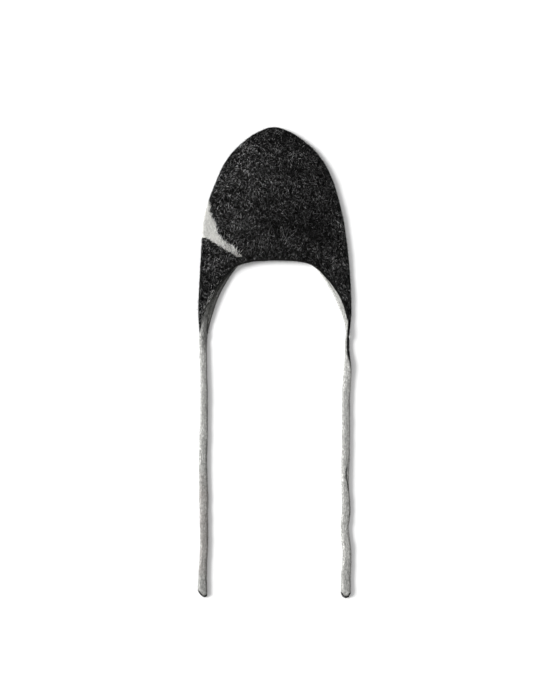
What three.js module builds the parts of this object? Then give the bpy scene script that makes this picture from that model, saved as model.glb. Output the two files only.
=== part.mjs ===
// Earflap cap of thick double-faced knit, lying on its back with the front up.
// It has a left and a right half joined on the centre line, a narrow edge round
// the front and the back of the opening, and two long flat ties.
// Millimetres. +Z is up, the crown points along +Y and the ties along -Y.
// The origin is on the surface that the cap lies on, under the middle of the cap.

import * as THREE from "three";

// Driving sizes
const KNIT_THICKNESS = 3.2;
const CLEARANCE = 0.3;
const APEX_Y = 156;
const APEX_HEIGHT = 4;
const APEX_ROUNDING = 8;
const SIDE_FOLD_RADIUS = 3.8;
const FOLD_ROUNDING = 1.3;
const FOLD_BLEND = 4;
const EDGE_WIDTH = 4;
const EDGE_THICKNESS = 3.8;
const EDGE_THICKNESS_IN_FLAPS = 6;
const EDGE_THICKENS_FROM = 45;
const EDGE_THICKENS_TO = 85;
const EDGE_CLEARANCE = 0.45;
const TIE_WIDTH = 11.6;
const TIE_THICKNESS = 7.4;
const TIE_START_SHARE = 0.6;
const TIE_START_LENGTH = 40;
const SECTION_SQUARENESS = 0.7;

// Grid of one half: columns from the front centre round the side fold to the back centre
const COLUMNS_PER_LAYER = 14;
const ROWS = 17;
const TIE_SIDES = 10;
const EDGE_SIDES = 8;

// Outline of the cap seen from above: down = distance from the apex, left and right =
// half widths, top = height of the front above the surface
const OUTLINE = [
  { down: 0, left: 0, right: 0, top: 4 },
  { down: 4.5, left: 18, right: 18, top: 9 },
  { down: 13.5, left: 34.5, right: 34.5, top: 11.5 },
  { down: 22.5, left: 46.5, right: 46.5, top: 13.5 },
  { down: 40.5, left: 64.5, right: 65.5, top: 16.5 },
  { down: 58.5, left: 76.5, right: 78, top: 18.8 },
  { down: 85.5, left: 88.5, right: 90, top: 20 },
  { down: 109.5, left: 97.5, right: 97, top: 19.5 },
  { down: 132, left: 103.5, right: 102.5, top: 17.8 },
  { down: 154.5, left: 107, right: 106.5, top: 15 },
  { down: 184.5, left: 108.8, right: 110.2, top: 12.4 },
  { down: 214.5, left: 110.7, right: 113.1, top: 10.6 },
  { down: 244.5, left: 112.2, right: 115, top: 9.6 },
  { down: 274.5, left: 113.3, right: 115.6, top: 9.6 },
  { down: 297, left: 112.2, right: 114.2, top: 9.6 },
  { down: 312, left: 111, right: 112.6, top: 9.6 },
];

// Lower edge of the knit: across = share of the half width from the centre line to the
// side fold, and then the distance from the apex on the front and the back of each half
const OPENING = [
  { across: 0, frontLeft: 195.9, frontRight: 195.9, backLeft: 193.5, backRight: 193.5 },
  { across: 0.25, frontLeft: 197.3, frontRight: 196.7, backLeft: 195, backRight: 194.2 },
  { across: 0.4, frontLeft: 200.2, frontRight: 199, backLeft: 198, backRight: 196.5 },
  { across: 0.5, frontLeft: 203.4, frontRight: 202.2, backLeft: 203.9, backRight: 201 },
  { across: 0.6, frontLeft: 210.6, frontRight: 209.9, backLeft: 217.2, backRight: 210.5 },
  { across: 0.68, frontLeft: 220, frontRight: 219.2, backLeft: 232, backRight: 224 },
  { across: 0.75, frontLeft: 230.5, frontRight: 228.4, backLeft: 247.3, backRight: 238 },
  { across: 0.82, frontLeft: 243.5, frontRight: 240.2, backLeft: 269.2, backRight: 253.5 },
  { across: 0.86, frontLeft: 252.5, frontRight: 247.4, backLeft: 286.5, backRight: 264 },
  { across: 0.905, frontLeft: 264.5, frontRight: 257.6, backLeft: 312, backRight: 281 },
  { across: 0.94, frontLeft: 276, frontRight: 268.5, backLeft: 312, backRight: 298 },
  { across: 0.975, frontLeft: 292, frontRight: 285.5, backLeft: 312, backRight: 312 },
  { across: 1, frontLeft: 312, frontRight: 312, backLeft: 312, backRight: 312 },
];

// Soft folds pressed into the front: from and to in x and y, with depth and half width
const FRONT_FOLDS = [
  { fromX: 88, fromY: 30, toX: 34, toY: -14, depth: 1.8, reach: 12 },
  { fromX: 40, fromY: 70, toX: 36, toY: 20, depth: 1, reach: 11 },
];

// Routes of the ties from the flap to the tip: centre, width share and turn in degrees
// (0 lies flat with the light face up, 90 stands on edge)
const LEFT_TIE_ROUTE = [
  { x: -105.8, y: -156.4, width: 0.93, turn: 0 },
  { x: -106.1, y: -166, width: 1, turn: 0 },
  { x: -105.8, y: -188, width: 0.93, turn: 0 },
  { x: -105.2, y: -208.5, width: 0.82, turn: 0 },
  { x: -104.6, y: -240, width: 0.9, turn: 0 },
  { x: -104.6, y: -270, width: 0.96, turn: 0 },
  { x: -105.1, y: -298.5, width: 1, turn: 0 },
  { x: -105.8, y: -328.5, width: 1.04, turn: 0 },
  { x: -106.1, y: -352, width: 1, turn: 0 },
  { x: -105.6, y: -375, width: 1.1, turn: 0 },
  { x: -105.1, y: -403.5, width: 1.05, turn: 0 },
  { x: -105, y: -433.5, width: 1.02, turn: 0 },
  { x: -104.5, y: -465, width: 1.03, turn: 0 },
  { x: -105.6, y: -490, width: 1, turn: 0 },
  { x: -106.4, y: -505, width: 1.06, turn: 0 },
  { x: -106.9, y: -520, width: 1.1, turn: 0 },
  { x: -107, y: -532, width: 1.16, turn: 0 },
  { x: -106.9, y: -540, width: 1.1, turn: 0 },
  { x: -106.4, y: -544.5, width: 0.9, turn: 0 },
  { x: -106, y: -547.4, width: 0.5, turn: 0 },
];
const RIGHT_TIE_ROUTE = [
  { x: 109.8, y: -156.4, width: 0.58, turn: 95 },
  { x: 109.6, y: -166, width: 0.58, turn: 95 },
  { x: 109.5, y: -176, width: 0.6, turn: 92 },
  { x: 109.9, y: -187, width: 0.72, turn: 72 },
  { x: 110.2, y: -198, width: 0.88, turn: 42 },
  { x: 110.1, y: -210, width: 0.97, turn: 12 },
  { x: 109.3, y: -225, width: 1, turn: 0 },
  { x: 107.8, y: -253.5, width: 1, turn: 0 },
  { x: 107.8, y: -298.5, width: 1, turn: 0 },
  { x: 107.6, y: -328.5, width: 1, turn: 0 },
  { x: 106.8, y: -358, width: 0.92, turn: 0 },
  { x: 106.6, y: -381, width: 0.9, turn: 0 },
  { x: 108, y: -403.5, width: 1, turn: 0 },
  { x: 108.4, y: -418.5, width: 1.07, turn: 0 },
  { x: 107.2, y: -430, width: 1.04, turn: 0 },
  { x: 105.9, y: -444, width: 0.92, turn: 0 },
  { x: 107.4, y: -462, width: 1.06, turn: 0 },
  { x: 109.3, y: -480, width: 1.07, turn: 0 },
  { x: 109, y: -498, width: 1.1, turn: 0 },
  { x: 108.1, y: -510, width: 1.2, turn: 0 },
  { x: 107.8, y: -525, width: 1.25, turn: 0 },
  { x: 107.6, y: -539, width: 1.22, turn: 0 },
  { x: 107.5, y: -545, width: 1, turn: 0 },
  { x: 107.4, y: -549.2, width: 0.55, turn: 0 },
];

// How many columns of the grid the edges run past on each half before the ties take over
const FACE_EDGE_COLUMNS = { left: 12, right: 12 };
const NAPE_EDGE_COLUMNS = { left: 10, right: 11 };

const HALF_GAP = CLEARANCE / 2;
const QUARTER_TURN = Math.PI / 2;

// A smooth curve through a table's rows that never overshoots them
function curveThrough(table, key, column, change = (value) => value) {
  const at = table.map((row) => row[key]);
  const value = table.map((row) => change(row[column]));
  const step = at.slice(1).map((x, i) => (value[i + 1] - value[i]) / (x - at[i]));
  const slope = value.map((_, i) => {
    const before = step[Math.max(i - 1, 0)];
    const after = step[Math.min(i, step.length - 1)];
    return before * after <= 0 ? 0 : (2 * before * after) / (before + after);
  });
  return (x) => {
    const found = at.findIndex((edge) => edge >= x);
    const i = Math.min(Math.max((found < 0 ? at.length : found) - 1, 0), at.length - 2);
    const width = at[i + 1] - at[i];
    const t = Math.min(Math.max((x - at[i]) / width, 0), 1);
    const rise = value[i + 1] - value[i];
    const cubic = width * (slope[i] + slope[i + 1]) - 2 * rise;
    const square = 3 * rise - width * (2 * slope[i] + slope[i + 1]);
    return value[i] + t * (width * slope[i] + t * (square + t * cubic));
  };
}

// Half widths and height grow like a square root from the apex, so their squares are
// what the curves follow
const squared = (value) => value * value;
const halfWidthSquared = {
  left: curveThrough(OUTLINE, "down", "left", squared),
  right: curveThrough(OUTLINE, "down", "right", squared),
};
const riseSquared = curveThrough(OUTLINE, "down", "top", (top) => squared(top - APEX_HEIGHT));
const openingAt = {
  left: {
    front: curveThrough(OPENING, "across", "frontLeft"),
    back: curveThrough(OPENING, "across", "backLeft"),
  },
  right: {
    front: curveThrough(OPENING, "across", "frontRight"),
    back: curveThrough(OPENING, "across", "backRight"),
  },
};

// How deep the soft folds press the front at a place seen from above
function foldDepth(x, y) {
  return FRONT_FOLDS.reduce((depth, fold) => {
    const alongX = fold.toX - fold.fromX;
    const alongY = fold.toY - fold.fromY;
    const length = Math.hypot(alongX, alongY);
    const share = ((x - fold.fromX) * alongX + (y - fold.fromY) * alongY) / squared(length);
    const nearest = Math.min(Math.max(share, 0), 1);
    const away = Math.hypot(x - fold.fromX - nearest * alongX, y - fold.fromY - nearest * alongY);
    return depth + fold.depth * Math.exp(-squared(away / fold.reach));
  }, 0);
}

// One point of the outer face of a half. angle runs from 0 at the front centre over 90
// degrees at the side fold to 180 at the back centre, and along from 0 at the apex to 1
// at the opening.
function outerPoint(half, angle, along) {
  const across = Math.sin(angle);
  const onFront = angle <= QUARTER_TURN;
  const reach = openingAt[half][onFront ? "front" : "back"](across);
  const down = (reach * along * along * (3 - along)) / 2;
  const width = Math.sqrt(Math.max(halfWidthSquared[half](down), 0));
  const nearApex = Math.max(1 - down / APEX_ROUNDING, 0);
  const base = APEX_HEIGHT * (1 - Math.sqrt(1 - squared(nearApex)));
  const top = APEX_HEIGHT + Math.sqrt(Math.max(riseSquared(down), 0));
  const height = top - base;
  const fullness = (height / 2 / SIDE_FOLD_RADIUS) ** FOLD_BLEND;
  const foldRadius = height / 2 / (1 + fullness) ** (1 / FOLD_BLEND);
  const side = half === "left" ? -1 : 1;
  const x = side * (HALF_GAP + Math.max(width - HALF_GAP, 0) * across);
  const y = APEX_Y - down;
  if (width < HALF_GAP) return new THREE.Vector3(x, y, base + foldRadius);
  const flatShare = Math.max(1 - (FOLD_ROUNDING * foldRadius) / width, 0);
  const rounding = Math.max((across - flatShare) / (1 - flatShare), 0);
  const turned = foldRadius * Math.sqrt(Math.max(1 - squared(rounding), 0));
  if (!onFront) return new THREE.Vector3(x, y, base + foldRadius - turned);
  const dome = (height - 2 * foldRadius - foldDepth(x, y)) * (1 - squared(across));
  return new THREE.Vector3(x, y, base + foldRadius + turned + dome);
}

// The direction out of the knit at a point of the outer face
function outwardAt(half, angle, along) {
  if (along === 0) return new THREE.Vector3(0, 1, 0);
  const small = 1e-3;
  const around = outerPoint(half, Math.min(angle + small, Math.PI), along).sub(
    outerPoint(half, Math.max(angle - small, 0), along),
  );
  const downward = outerPoint(half, angle, Math.min(along + small, 1)).sub(
    outerPoint(half, angle, along - small),
  );
  const outward = around.cross(downward).normalize();
  return half === "left" ? outward : outward.negate();
}

function innerPoint(half, angle, along) {
  const outer = outerPoint(half, angle, along);
  const inner = outer.clone().addScaledVector(outwardAt(half, angle, along), -KNIT_THICKNESS);
  if (angle === 0 || angle === Math.PI) inner.x = outer.x;
  return inner;
}

function geometryFrom(points, triangles) {
  const geometry = new THREE.BufferGeometry();
  geometry.setAttribute(
    "position",
    new THREE.Float32BufferAttribute(points.flatMap((p) => [p.x, p.y, p.z]), 3),
  );
  geometry.setIndex(triangles.flat());
  geometry.computeVertexNormals();
  return geometry;
}

// One half of the cap: an outer and an inner skin, closed along the centre line and the
// opening. All the columns share one point at the apex.
function halfShell(half) {
  const columns = 2 * COLUMNS_PER_LAYER;
  const points = [];
  const skins = [outerPoint, innerPoint].map((pointAt) => {
    const first = points.length;
    points.push(pointAt(half, 0, 0));
    for (let row = 1; row <= ROWS; row++) {
      for (let column = 0; column <= columns; column++) {
        points.push(pointAt(half, (column / columns) * Math.PI, row / ROWS));
      }
    }
    return (row, column) => (row === 0 ? first : first + 1 + (row - 1) * (columns + 1) + column);
  });
  const [outer, inner] = skins;
  const triangles = [];
  const addQuad = (a, b, c, d) => {
    if (a !== b) triangles.push([a, b, c]);
    if (c !== d) triangles.push([a, c, d]);
  };
  for (let row = 0; row < ROWS; row++) {
    for (let column = 0; column < columns; column++) {
      const next = column + 1;
      addQuad(outer(row, column), outer(row, next), outer(row + 1, next), outer(row + 1, column));
      addQuad(inner(row + 1, column), inner(row + 1, next), inner(row, next), inner(row, column));
    }
    addQuad(inner(row, 0), outer(row, 0), outer(row + 1, 0), inner(row + 1, 0));
    addQuad(
      outer(row, columns),
      inner(row, columns),
      inner(row + 1, columns),
      outer(row + 1, columns),
    );
  }
  for (let column = 0; column < columns; column++) {
    const next = column + 1;
    addQuad(outer(ROWS, column), outer(ROWS, next), inner(ROWS, next), inner(ROWS, column));
  }
  const facing = half === "left" ? triangles : triangles.map(([a, b, c]) => [a, c, b]);
  return geometryFrom(points, facing);
}

// A closed solid through rings that all have the same number of points
function throughRings(rings) {
  const sides = rings[0].length;
  const points = rings.flat();
  const triangles = [];
  for (let ring = 0; ring < rings.length - 1; ring++) {
    for (let k = 0; k < sides; k++) {
      const a = ring * sides + k;
      const b = ring * sides + ((k + 1) % sides);
      triangles.push([a, b, b + sides], [a, b + sides, a + sides]);
    }
  }
  const last = (rings.length - 1) * sides;
  for (let k = 1; k < sides - 1; k++) {
    triangles.push([0, k + 1, k], [last, last + k, last + k + 1]);
  }
  return geometryFrom(points, triangles);
}

// A flat section with round ends, in its own two directions
function roundedSection(centre, wide, thick, width, thickness, sides) {
  return Array.from({ length: sides }, (_, k) => {
    const turn = ((k + 0.5) / sides) * 2 * Math.PI;
    const cos = Math.cos(turn);
    const sin = Math.sin(turn);
    const u = (width / 2) * Math.sign(cos) * Math.abs(cos) ** SECTION_SQUARENESS;
    const v = (thickness / 2) * Math.sign(sin) * Math.abs(sin) ** SECTION_SQUARENESS;
    return centre.clone().addScaledVector(wide, u).addScaledVector(thick, v);
  });
}

// The edge lies just outside the lower edge of the knit, from the end on the left half
// over the centre line to the end on the right half. The edge of the back curls up and is
// thicker in the flaps.
function openingEdge(layer, lastColumn) {
  const stations = [];
  for (let column = -lastColumn.left; column <= lastColumn.right; column++) {
    const half = column < 0 ? "left" : "right";
    const turn = (Math.abs(column) / COLUMNS_PER_LAYER) * QUARTER_TURN;
    stations.push({ half, column, angle: layer === "front" ? turn : Math.PI - turn });
  }
  const small = 1e-3;
  const rings = stations.map(({ half, column, angle }) => {
    const outward = outwardAt(half, angle, 1);
    const along = outerPoint(half, Math.min(angle + small, Math.PI), 1)
      .sub(outerPoint(half, Math.max(angle - small, 0), 1))
      .normalize();
    if (along.x < 0) along.negate();
    const away = outward.clone().cross(along).normalize();
    if (away.y > 0) away.negate();
    const centre = outerPoint(half, angle, 1).addScaledVector(outward, -KNIT_THICKNESS / 2);
    if (column === 0) {
      centre.x = 0;
      away.x = 0;
    }
    centre.addScaledVector(away, EDGE_CLEARANCE + EDGE_WIDTH / 2);
    const inFlap = THREE.MathUtils.smoothstep(
      Math.abs(centre.x),
      EDGE_THICKENS_FROM,
      EDGE_THICKENS_TO,
    );
    const thickest = layer === "back" ? EDGE_THICKNESS_IN_FLAPS : EDGE_THICKNESS;
    const thickness = THREE.MathUtils.lerp(EDGE_THICKNESS, thickest, inFlap);
    centre.z = Math.max(centre.z, thickness / 2);
    const thick = along.cross(away).normalize();
    return roundedSection(centre, away, thick, EDGE_WIDTH, thickness, EDGE_SIDES);
  });
  return throughRings(rings);
}

// A thick strap along its route on the surface, resting on its lowest corner. It is thin
// where it leaves the flap and reaches its full thickness a little further on.
function tie(route) {
  const rings = route.map((stop, i) => {
    const before = route[Math.max(i - 1, 0)];
    const after = route[Math.min(i + 1, route.length - 1)];
    const heading = new THREE.Vector3(after.x - before.x, after.y - before.y, 0).normalize();
    const up = new THREE.Vector3(0, 0, 1);
    const sideways = new THREE.Vector3().crossVectors(up, heading);
    const turn = THREE.MathUtils.degToRad(stop.turn);
    const wide = sideways.clone().multiplyScalar(Math.cos(turn)).addScaledVector(up, Math.sin(turn));
    const thick = new THREE.Vector3().crossVectors(heading, wide);
    const fromStart = Math.min((route[0].y - stop.y) / TIE_START_LENGTH, 1);
    const fullness = TIE_START_SHARE + (1 - TIE_START_SHARE) * fromStart;
    const section = roundedSection(
      new THREE.Vector3(stop.x, stop.y, 0),
      wide,
      thick,
      TIE_WIDTH * stop.width,
      TIE_THICKNESS * fullness,
      TIE_SIDES,
    );
    const lowest = Math.min(...section.map((p) => p.z));
    section.forEach((p) => (p.z -= lowest));
    return section;
  });
  return throughRings(rings);
}

const charcoalKnit = () =>
  new THREE.MeshStandardMaterial({ color: 0x2b2b2b, roughness: 0.95, metalness: 0 });
const greyKnit = () =>
  new THREE.MeshStandardMaterial({ color: 0xb7b8b3, roughness: 0.95, metalness: 0 });

function namedMesh(name, geometry, material) {
  const mesh = new THREE.Mesh(geometry, material);
  mesh.name = name;
  return mesh;
}

const cap = new THREE.Group();
cap.name = "earflap_cap";
cap.add(
  namedMesh("crown_left", halfShell("left"), charcoalKnit()),
  namedMesh("crown_right", halfShell("right"), charcoalKnit()),
  namedMesh("face_edge", openingEdge("front", FACE_EDGE_COLUMNS), charcoalKnit()),
  namedMesh("nape_edge", openingEdge("back", NAPE_EDGE_COLUMNS), charcoalKnit()),
  namedMesh("tie_left", tie(LEFT_TIE_ROUTE), greyKnit()),
  namedMesh("tie_right", tie(RIGHT_TIE_ROUTE), greyKnit()),
);

export default cap;
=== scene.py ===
# %% [markdown]
# # A brushed earflap cap, lying on its back
# The real object is a soft cap of thick double-faced knit: charcoal mohair outside, light grey
# inside, with a cream patch at one side and two long grey ties. It lies flat on a pale table, and
# we look straight down on it. The solid model says how big everything is and where it lies. Here
# each part gets its real surface: fine curved skins, knitted stitches, and thousands of hairs.

import bpy
import numpy as np
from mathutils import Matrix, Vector


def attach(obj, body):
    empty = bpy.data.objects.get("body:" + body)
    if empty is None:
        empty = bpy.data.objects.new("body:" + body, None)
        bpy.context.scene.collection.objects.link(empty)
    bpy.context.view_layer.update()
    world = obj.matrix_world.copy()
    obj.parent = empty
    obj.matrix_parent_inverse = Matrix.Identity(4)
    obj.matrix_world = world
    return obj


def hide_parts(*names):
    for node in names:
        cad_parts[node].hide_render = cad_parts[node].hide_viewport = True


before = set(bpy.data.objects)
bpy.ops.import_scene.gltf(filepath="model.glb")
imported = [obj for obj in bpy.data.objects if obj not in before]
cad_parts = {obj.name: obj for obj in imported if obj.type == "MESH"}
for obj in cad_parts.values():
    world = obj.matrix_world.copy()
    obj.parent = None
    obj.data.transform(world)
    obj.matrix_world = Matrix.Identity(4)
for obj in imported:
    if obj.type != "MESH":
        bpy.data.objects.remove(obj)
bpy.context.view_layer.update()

# %% [markdown]
# ## The camera
# The picture was taken from straight above. A long lens from well over two metres keeps the sides
# of the crown from leaning outwards. Its height follows from one number: how much of the table
# one pixel of the picture covers.

# %% Camera
PIXEL = 0.0015  # width of the table that one pixel covers, in metres
PICTURE_HEIGHT = 687
LENS = 85.0
SENSOR = 36.0
PICTURE_MIDDLE = (0.0015, -0.1678)  # place in the middle of the picture, in metres

lens_data = bpy.data.cameras.new("camera")
lens_data.lens = LENS
lens_data.sensor_width = SENSOR
camera = bpy.data.objects.new("camera", lens_data)
camera.location = (*PICTURE_MIDDLE, LENS / SENSOR * PICTURE_HEIGHT * PIXEL)
bpy.context.collection.objects.link(camera)
bpy.context.scene.camera = camera
print("camera height, metres:", round(camera.location.z, 3))

# %% [markdown]
# ## Smooth curves through a few measured rows
# The outline of a soft cap has no neat formula, so we measure it in rows and run a smooth curve
# through them. An ordinary spline swings past its points and makes bumps. A monotone cubic stays
# between them, which keeps cloth looking calm.


# %% Curves through tables
def smooth_curve(at, values):
    """A curve through the rows that never swings past them: a cubic between each two rows, whose
    slope at a row is the harmonic mean of the two slopes beside it, and zero at a turning row."""
    at = np.asarray(at, float)
    values = np.asarray(values, float)
    step = np.diff(values) / np.diff(at)
    before = np.concatenate([step[:1], step])
    after = np.concatenate([step, step[-1:]])
    agree = before * after > 0
    slope = np.where(agree, 2 * before * after / np.where(agree, before + after, 1), 0)

    def curve(x):
        row = np.clip(np.searchsorted(at, x) - 1, 0, len(at) - 2)
        width = at[row + 1] - at[row]
        share = np.clip((x - at[row]) / width, 0, 1)
        rise = values[row + 1] - values[row]
        cubic = width * (slope[row] + slope[row + 1]) - 2 * rise
        square = 3 * rise - width * (2 * slope[row] + slope[row + 1])
        return values[row] + share * (width * slope[row] + share * (square + share * cubic))

    return curve


def soft_step(values, low, high):
    """0 below low, 1 above high, and between them the curve 3t^2 - 2t^3."""
    share = np.clip((values - low) / (high - low), 0, 1)
    return share**2 * (3 - 2 * share)


def unit(vectors):
    """Each vector divided by its own length."""
    return vectors / np.linalg.norm(vectors, axis=-1, keepdims=True)


def distance_along(line):
    """Distance of each point of a line from its first one, measured along the line."""
    return np.concatenate([[0], np.cumsum(np.linalg.norm(np.diff(line, axis=0), axis=1))])


def ring_angles(sides):
    """Angles of the points round a cross-section, half a step away from the axes."""
    return (np.arange(sides) + 0.5) / sides * 2 * np.pi


# %% [markdown]
# ## Uneven cloth
# Nothing soft is quite even. Adding up 14 sine waves that run in random directions gives a
# gentle unevenness that is the same on every run, and that two neighbouring pieces share, because
# it depends only on the place in space.


# %% Gentle unevenness
def unevenness(points, wavelength, seed, waves=14):
    """Sum of sine waves through space, each with its own direction, phase and a length near the
    wavelength, scaled so that it mostly stays between -1 and 1. The wavelength is in the same
    unit as the points."""
    rng = np.random.default_rng(seed)
    directions = unit(rng.normal(size=(waves, 3)))
    lengths = wavelength * rng.uniform(0.7, 1.5, waves)
    phases = rng.uniform(0, 2 * np.pi, waves)
    total = np.zeros(points.shape[:-1])
    for direction, length, phase in zip(directions, lengths, phases):
        total += np.sin(points @ direction * (2 * np.pi / length) + phase)
    return total / np.sqrt(waves)


# %% [markdown]
# ## From numbers to a mesh
# All surfaces here are arrays of points and arrays of triangles. One helper turns them into an
# object that rides on the cap's body, with a UV map measured in real metres, so that a stitch is
# as wide on a tie as on the crown. Numbers that the material needs, such as how dark the yarn is
# at a place, travel with the points as attributes.

# %% Mesh helper
METRES = 0.001
new_pieces = []


def make_piece(name, points, triangles, slot, uv=None, **attributes):
    """One object from points (metres) and triangles, with a UV and named numbers per point."""
    mesh = bpy.data.meshes.new(name)
    mesh.vertices.add(len(points))
    mesh.vertices.foreach_set("co", np.asarray(points, np.float32).ravel())
    mesh.loops.add(triangles.size)
    mesh.loops.foreach_set("vertex_index", triangles.astype(np.int32).ravel())
    mesh.polygons.add(len(triangles))
    mesh.polygons.foreach_set("loop_start", np.arange(0, triangles.size, 3, dtype=np.int32))
    mesh.polygons.foreach_set("use_smooth", np.ones(len(triangles), bool))
    mesh.update(calc_edges=True)
    if uv is not None:
        layer = mesh.uv_layers.new(name="knit")
        layer.data.foreach_set("uv", uv[triangles.ravel()].astype(np.float32).ravel())
    for key, values in attributes.items():
        if values.ndim == 1:
            mesh.attributes.new(key, "FLOAT", "POINT")
            mesh.attributes[key].data.foreach_set("value", values.astype(np.float32))
        else:
            mesh.attributes.new(key, "FLOAT_COLOR", "POINT")
            rgba = np.column_stack([values, np.ones(len(values))])
            mesh.attributes[key].data.foreach_set("color", rgba.astype(np.float32).ravel())
    piece = bpy.data.objects.new(name, mesh)
    bpy.context.collection.objects.link(piece)
    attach(piece, "root")
    new_pieces.append(piece)
    print(f"{name}: {len(points)} points, {len(triangles)} triangles")
    return piece


# %% [markdown]
# ## The ties: the line that each one follows
# A tie is a narrow knitted strap, limp as a shoelace, and about 39 cm long. It is a free cord in
# the model's eyes, so its line comes first. The rows give its middle, its width and how far it is
# turned: flat with the light face up is 0 degrees, standing on its edge is 90. The right tie is
# folded narrow and stands on its edge where it leaves the flap, and then rolls flat. Both begin
# inside their flaps, where they are thin and lie on the back layer, so that flap and tie run into
# each other.

# %% Routes of the ties, in millimetres and degrees
TIE_WIDTH = 11.6
TIE_THICKNESS = 7.4
LEFT_TIE_ROUTE = np.array([
    # x, y, share of the width, turn
    (-103.2, -127.5, 0.62, 0),
    (-104.3, -134, 0.82, 0),
    (-105.3, -143, 0.95, 0),
    (-105.6, -152, 0.95, 0),
    (-106.1, -166, 1, 0),
    (-105.8, -188, 0.93, 0),
    (-105.2, -208.5, 0.82, 0),
    (-104.6, -240, 0.9, 0),
    (-104.6, -270, 0.96, 0),
    (-105.1, -298.5, 1, 0),
    (-105.8, -328.5, 1.04, 0),
    (-106.1, -352, 1, 0),
    (-105.6, -375, 1.1, 0),
    (-105.1, -403.5, 1.05, 0),
    (-105, -433.5, 1.02, 0),
    (-104.5, -465, 1.03, 0),
    (-105.6, -490, 1, 0),
    (-106.4, -505, 1.06, 0),
    (-106.9, -520, 1.1, 0),
    (-107, -532, 1.16, 0),
    (-107, -540, 1.16, 0),
    (-107, -544.5, 1, 0),
    (-107, -548, 0.5, 0),
])
RIGHT_TIE_ROUTE = np.array([
    (111.2, -128, 0.3, 95),
    (110.9, -140, 0.5, 95),
    (110.3, -150, 0.56, 95),
    (109.6, -166, 0.58, 95),
    (109.5, -176, 0.6, 92),
    (109.9, -187, 0.72, 72),
    (110.2, -198, 0.88, 42),
    (110.1, -210, 0.97, 12),
    (109.3, -225, 1, 0),
    (107.8, -253.5, 1, 0),
    (107.8, -298.5, 1, 0),
    (107.6, -328.5, 1, 0),
    (106.8, -358, 0.92, 0),
    (106.6, -381, 0.9, 0),
    (108, -403.5, 1, 0),
    (108.4, -418.5, 1.07, 0),
    (107.2, -430, 1.04, 0),
    (105.9, -444, 0.92, 0),
    (107.4, -462, 1.06, 0),
    (109.3, -480, 1.07, 0),
    (109, -498, 1.1, 0),
    (108.1, -510, 1.2, 0),
    (107.8, -525, 1.25, 0),
    (107.6, -539, 1.22, 0),
    (107.5, -545, 1, 0),
    (107.4, -549.2, 0.55, 0),
])

# %% [markdown]
# ## The ties: a strap carried along its line
# The cross-section is a flattened oval. We carry it down the line, turn it as the rows say, and
# let it rest on its lowest point. The stitches are real relief: each column of knitting is a row
# of V shapes, and a V is two slanting bulges side by side. At the tip each side runs in along its
# own curve: the quarter of an ellipse, or something more pointed where its power is below 2. The
# left tie's tip is cut aslant: its left side runs in sooner, and the two meet right of the middle.

# %% Stitch relief
STITCH_WIDTH = 0.0030
STITCH_HEIGHT = 0.0024
STITCH_SLANT = 0.62
STITCH_VALLEY = 0.45  # what is left of the height between two stitches


def stitch_relief(across, along):
    """Height of plain knitting from 0 to 1. In each column the distance s from its middle line
    runs 0 to 1; the two legs of the V bulge as the root of 1-(2s-1)^2, and one stitch follows the
    next as a cosine of along, shifted by s so that the legs slant."""
    column = across / STITCH_WIDTH
    s = np.abs(column - np.floor(column) - 0.5) * 2
    leg = np.sqrt(np.clip(1 - (2 * s - 1) ** 2, 0, 1))
    yarn = 0.5 + 0.5 * np.cos(2 * np.pi * (along / STITCH_HEIGHT - STITCH_SLANT * s))
    return leg * (STITCH_VALLEY + (1 - STITCH_VALLEY) * yarn)


# %% The strap as rings along the line
TIE_RINGS = 573
TIE_SIDES = 44
TIE_SQUARENESS = 0.78
TIE_RELIEF = 0.00034
RELIEF_MIDDLE = 0.6
TIE_END_LENGTH = 0.0078
NARROWEST = 0.02  # share of the width at the very end of the tip
BEFORE_TIP = 0.003  # metres added to the depth where the tip hasn't begun yet
WIDTH_WAVES = 0.035
FULLNESS_WAVES = 0.05
# Where the tip's two sides meet, from -1 at the left to 1 at the right. Then the length, in metres,
# and the power of the left side's curve, and of the right side's.
LEFT_TIP = (0.42, 0.0113, 1.45, 0.0045, 2.0)
RIGHT_TIP = (0.0, 0.0100, 1.75, 0.0100, 1.75)
FLAP_END = 0.156
BACK_LAYER_TOP = 0.0031
# Thickness of the tie as a share, by metres past the end of the flap
FULLNESS = smooth_curve([-0.029, 0, 0.010, 0.040], [0.14, 0.55, 0.82, 1])


def rings_to_mesh(rings):
    """Triangles of a closed tube through rings of equal size, with a flat fan at each end."""
    count, sides = rings.shape[:2]
    ring, side = np.meshgrid(np.arange(count - 1), np.arange(sides), indexing="ij")
    a = (ring * sides + side).ravel()
    b = (ring * sides + (side + 1) % sides).ravel()
    walls = np.concatenate([np.stack([a, b, b + sides], 1), np.stack([a, b + sides, a + sides], 1)])
    k = np.arange(1, sides - 1)
    first = np.stack([0 * k, k + 1, k], 1)
    last = np.stack([0 * k, k, k + 1], 1) + (count - 1) * sides
    return np.concatenate([walls, first, last])


def rounded(angle, squareness):
    """Two coordinates of an oval between -1 and 1: cosine and sine, each raised to a power below
    1 and given its sign back, which squares the oval a little."""
    wide, high = np.cos(angle), np.sin(angle)
    return np.sign(wide) * np.abs(wide) ** squareness, np.sign(high) * np.abs(high) ** squareness


def tip_side(place, end, length, power):
    """How far down its curve the side of a tip has come, t from 0 to 1, and what is left of its
    width there: (1 - t^power)^(1/power)."""
    t = np.clip(1 - (end - place) / length, 0, 1)
    return t, (1 - t**power) ** (1 / power)


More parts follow.
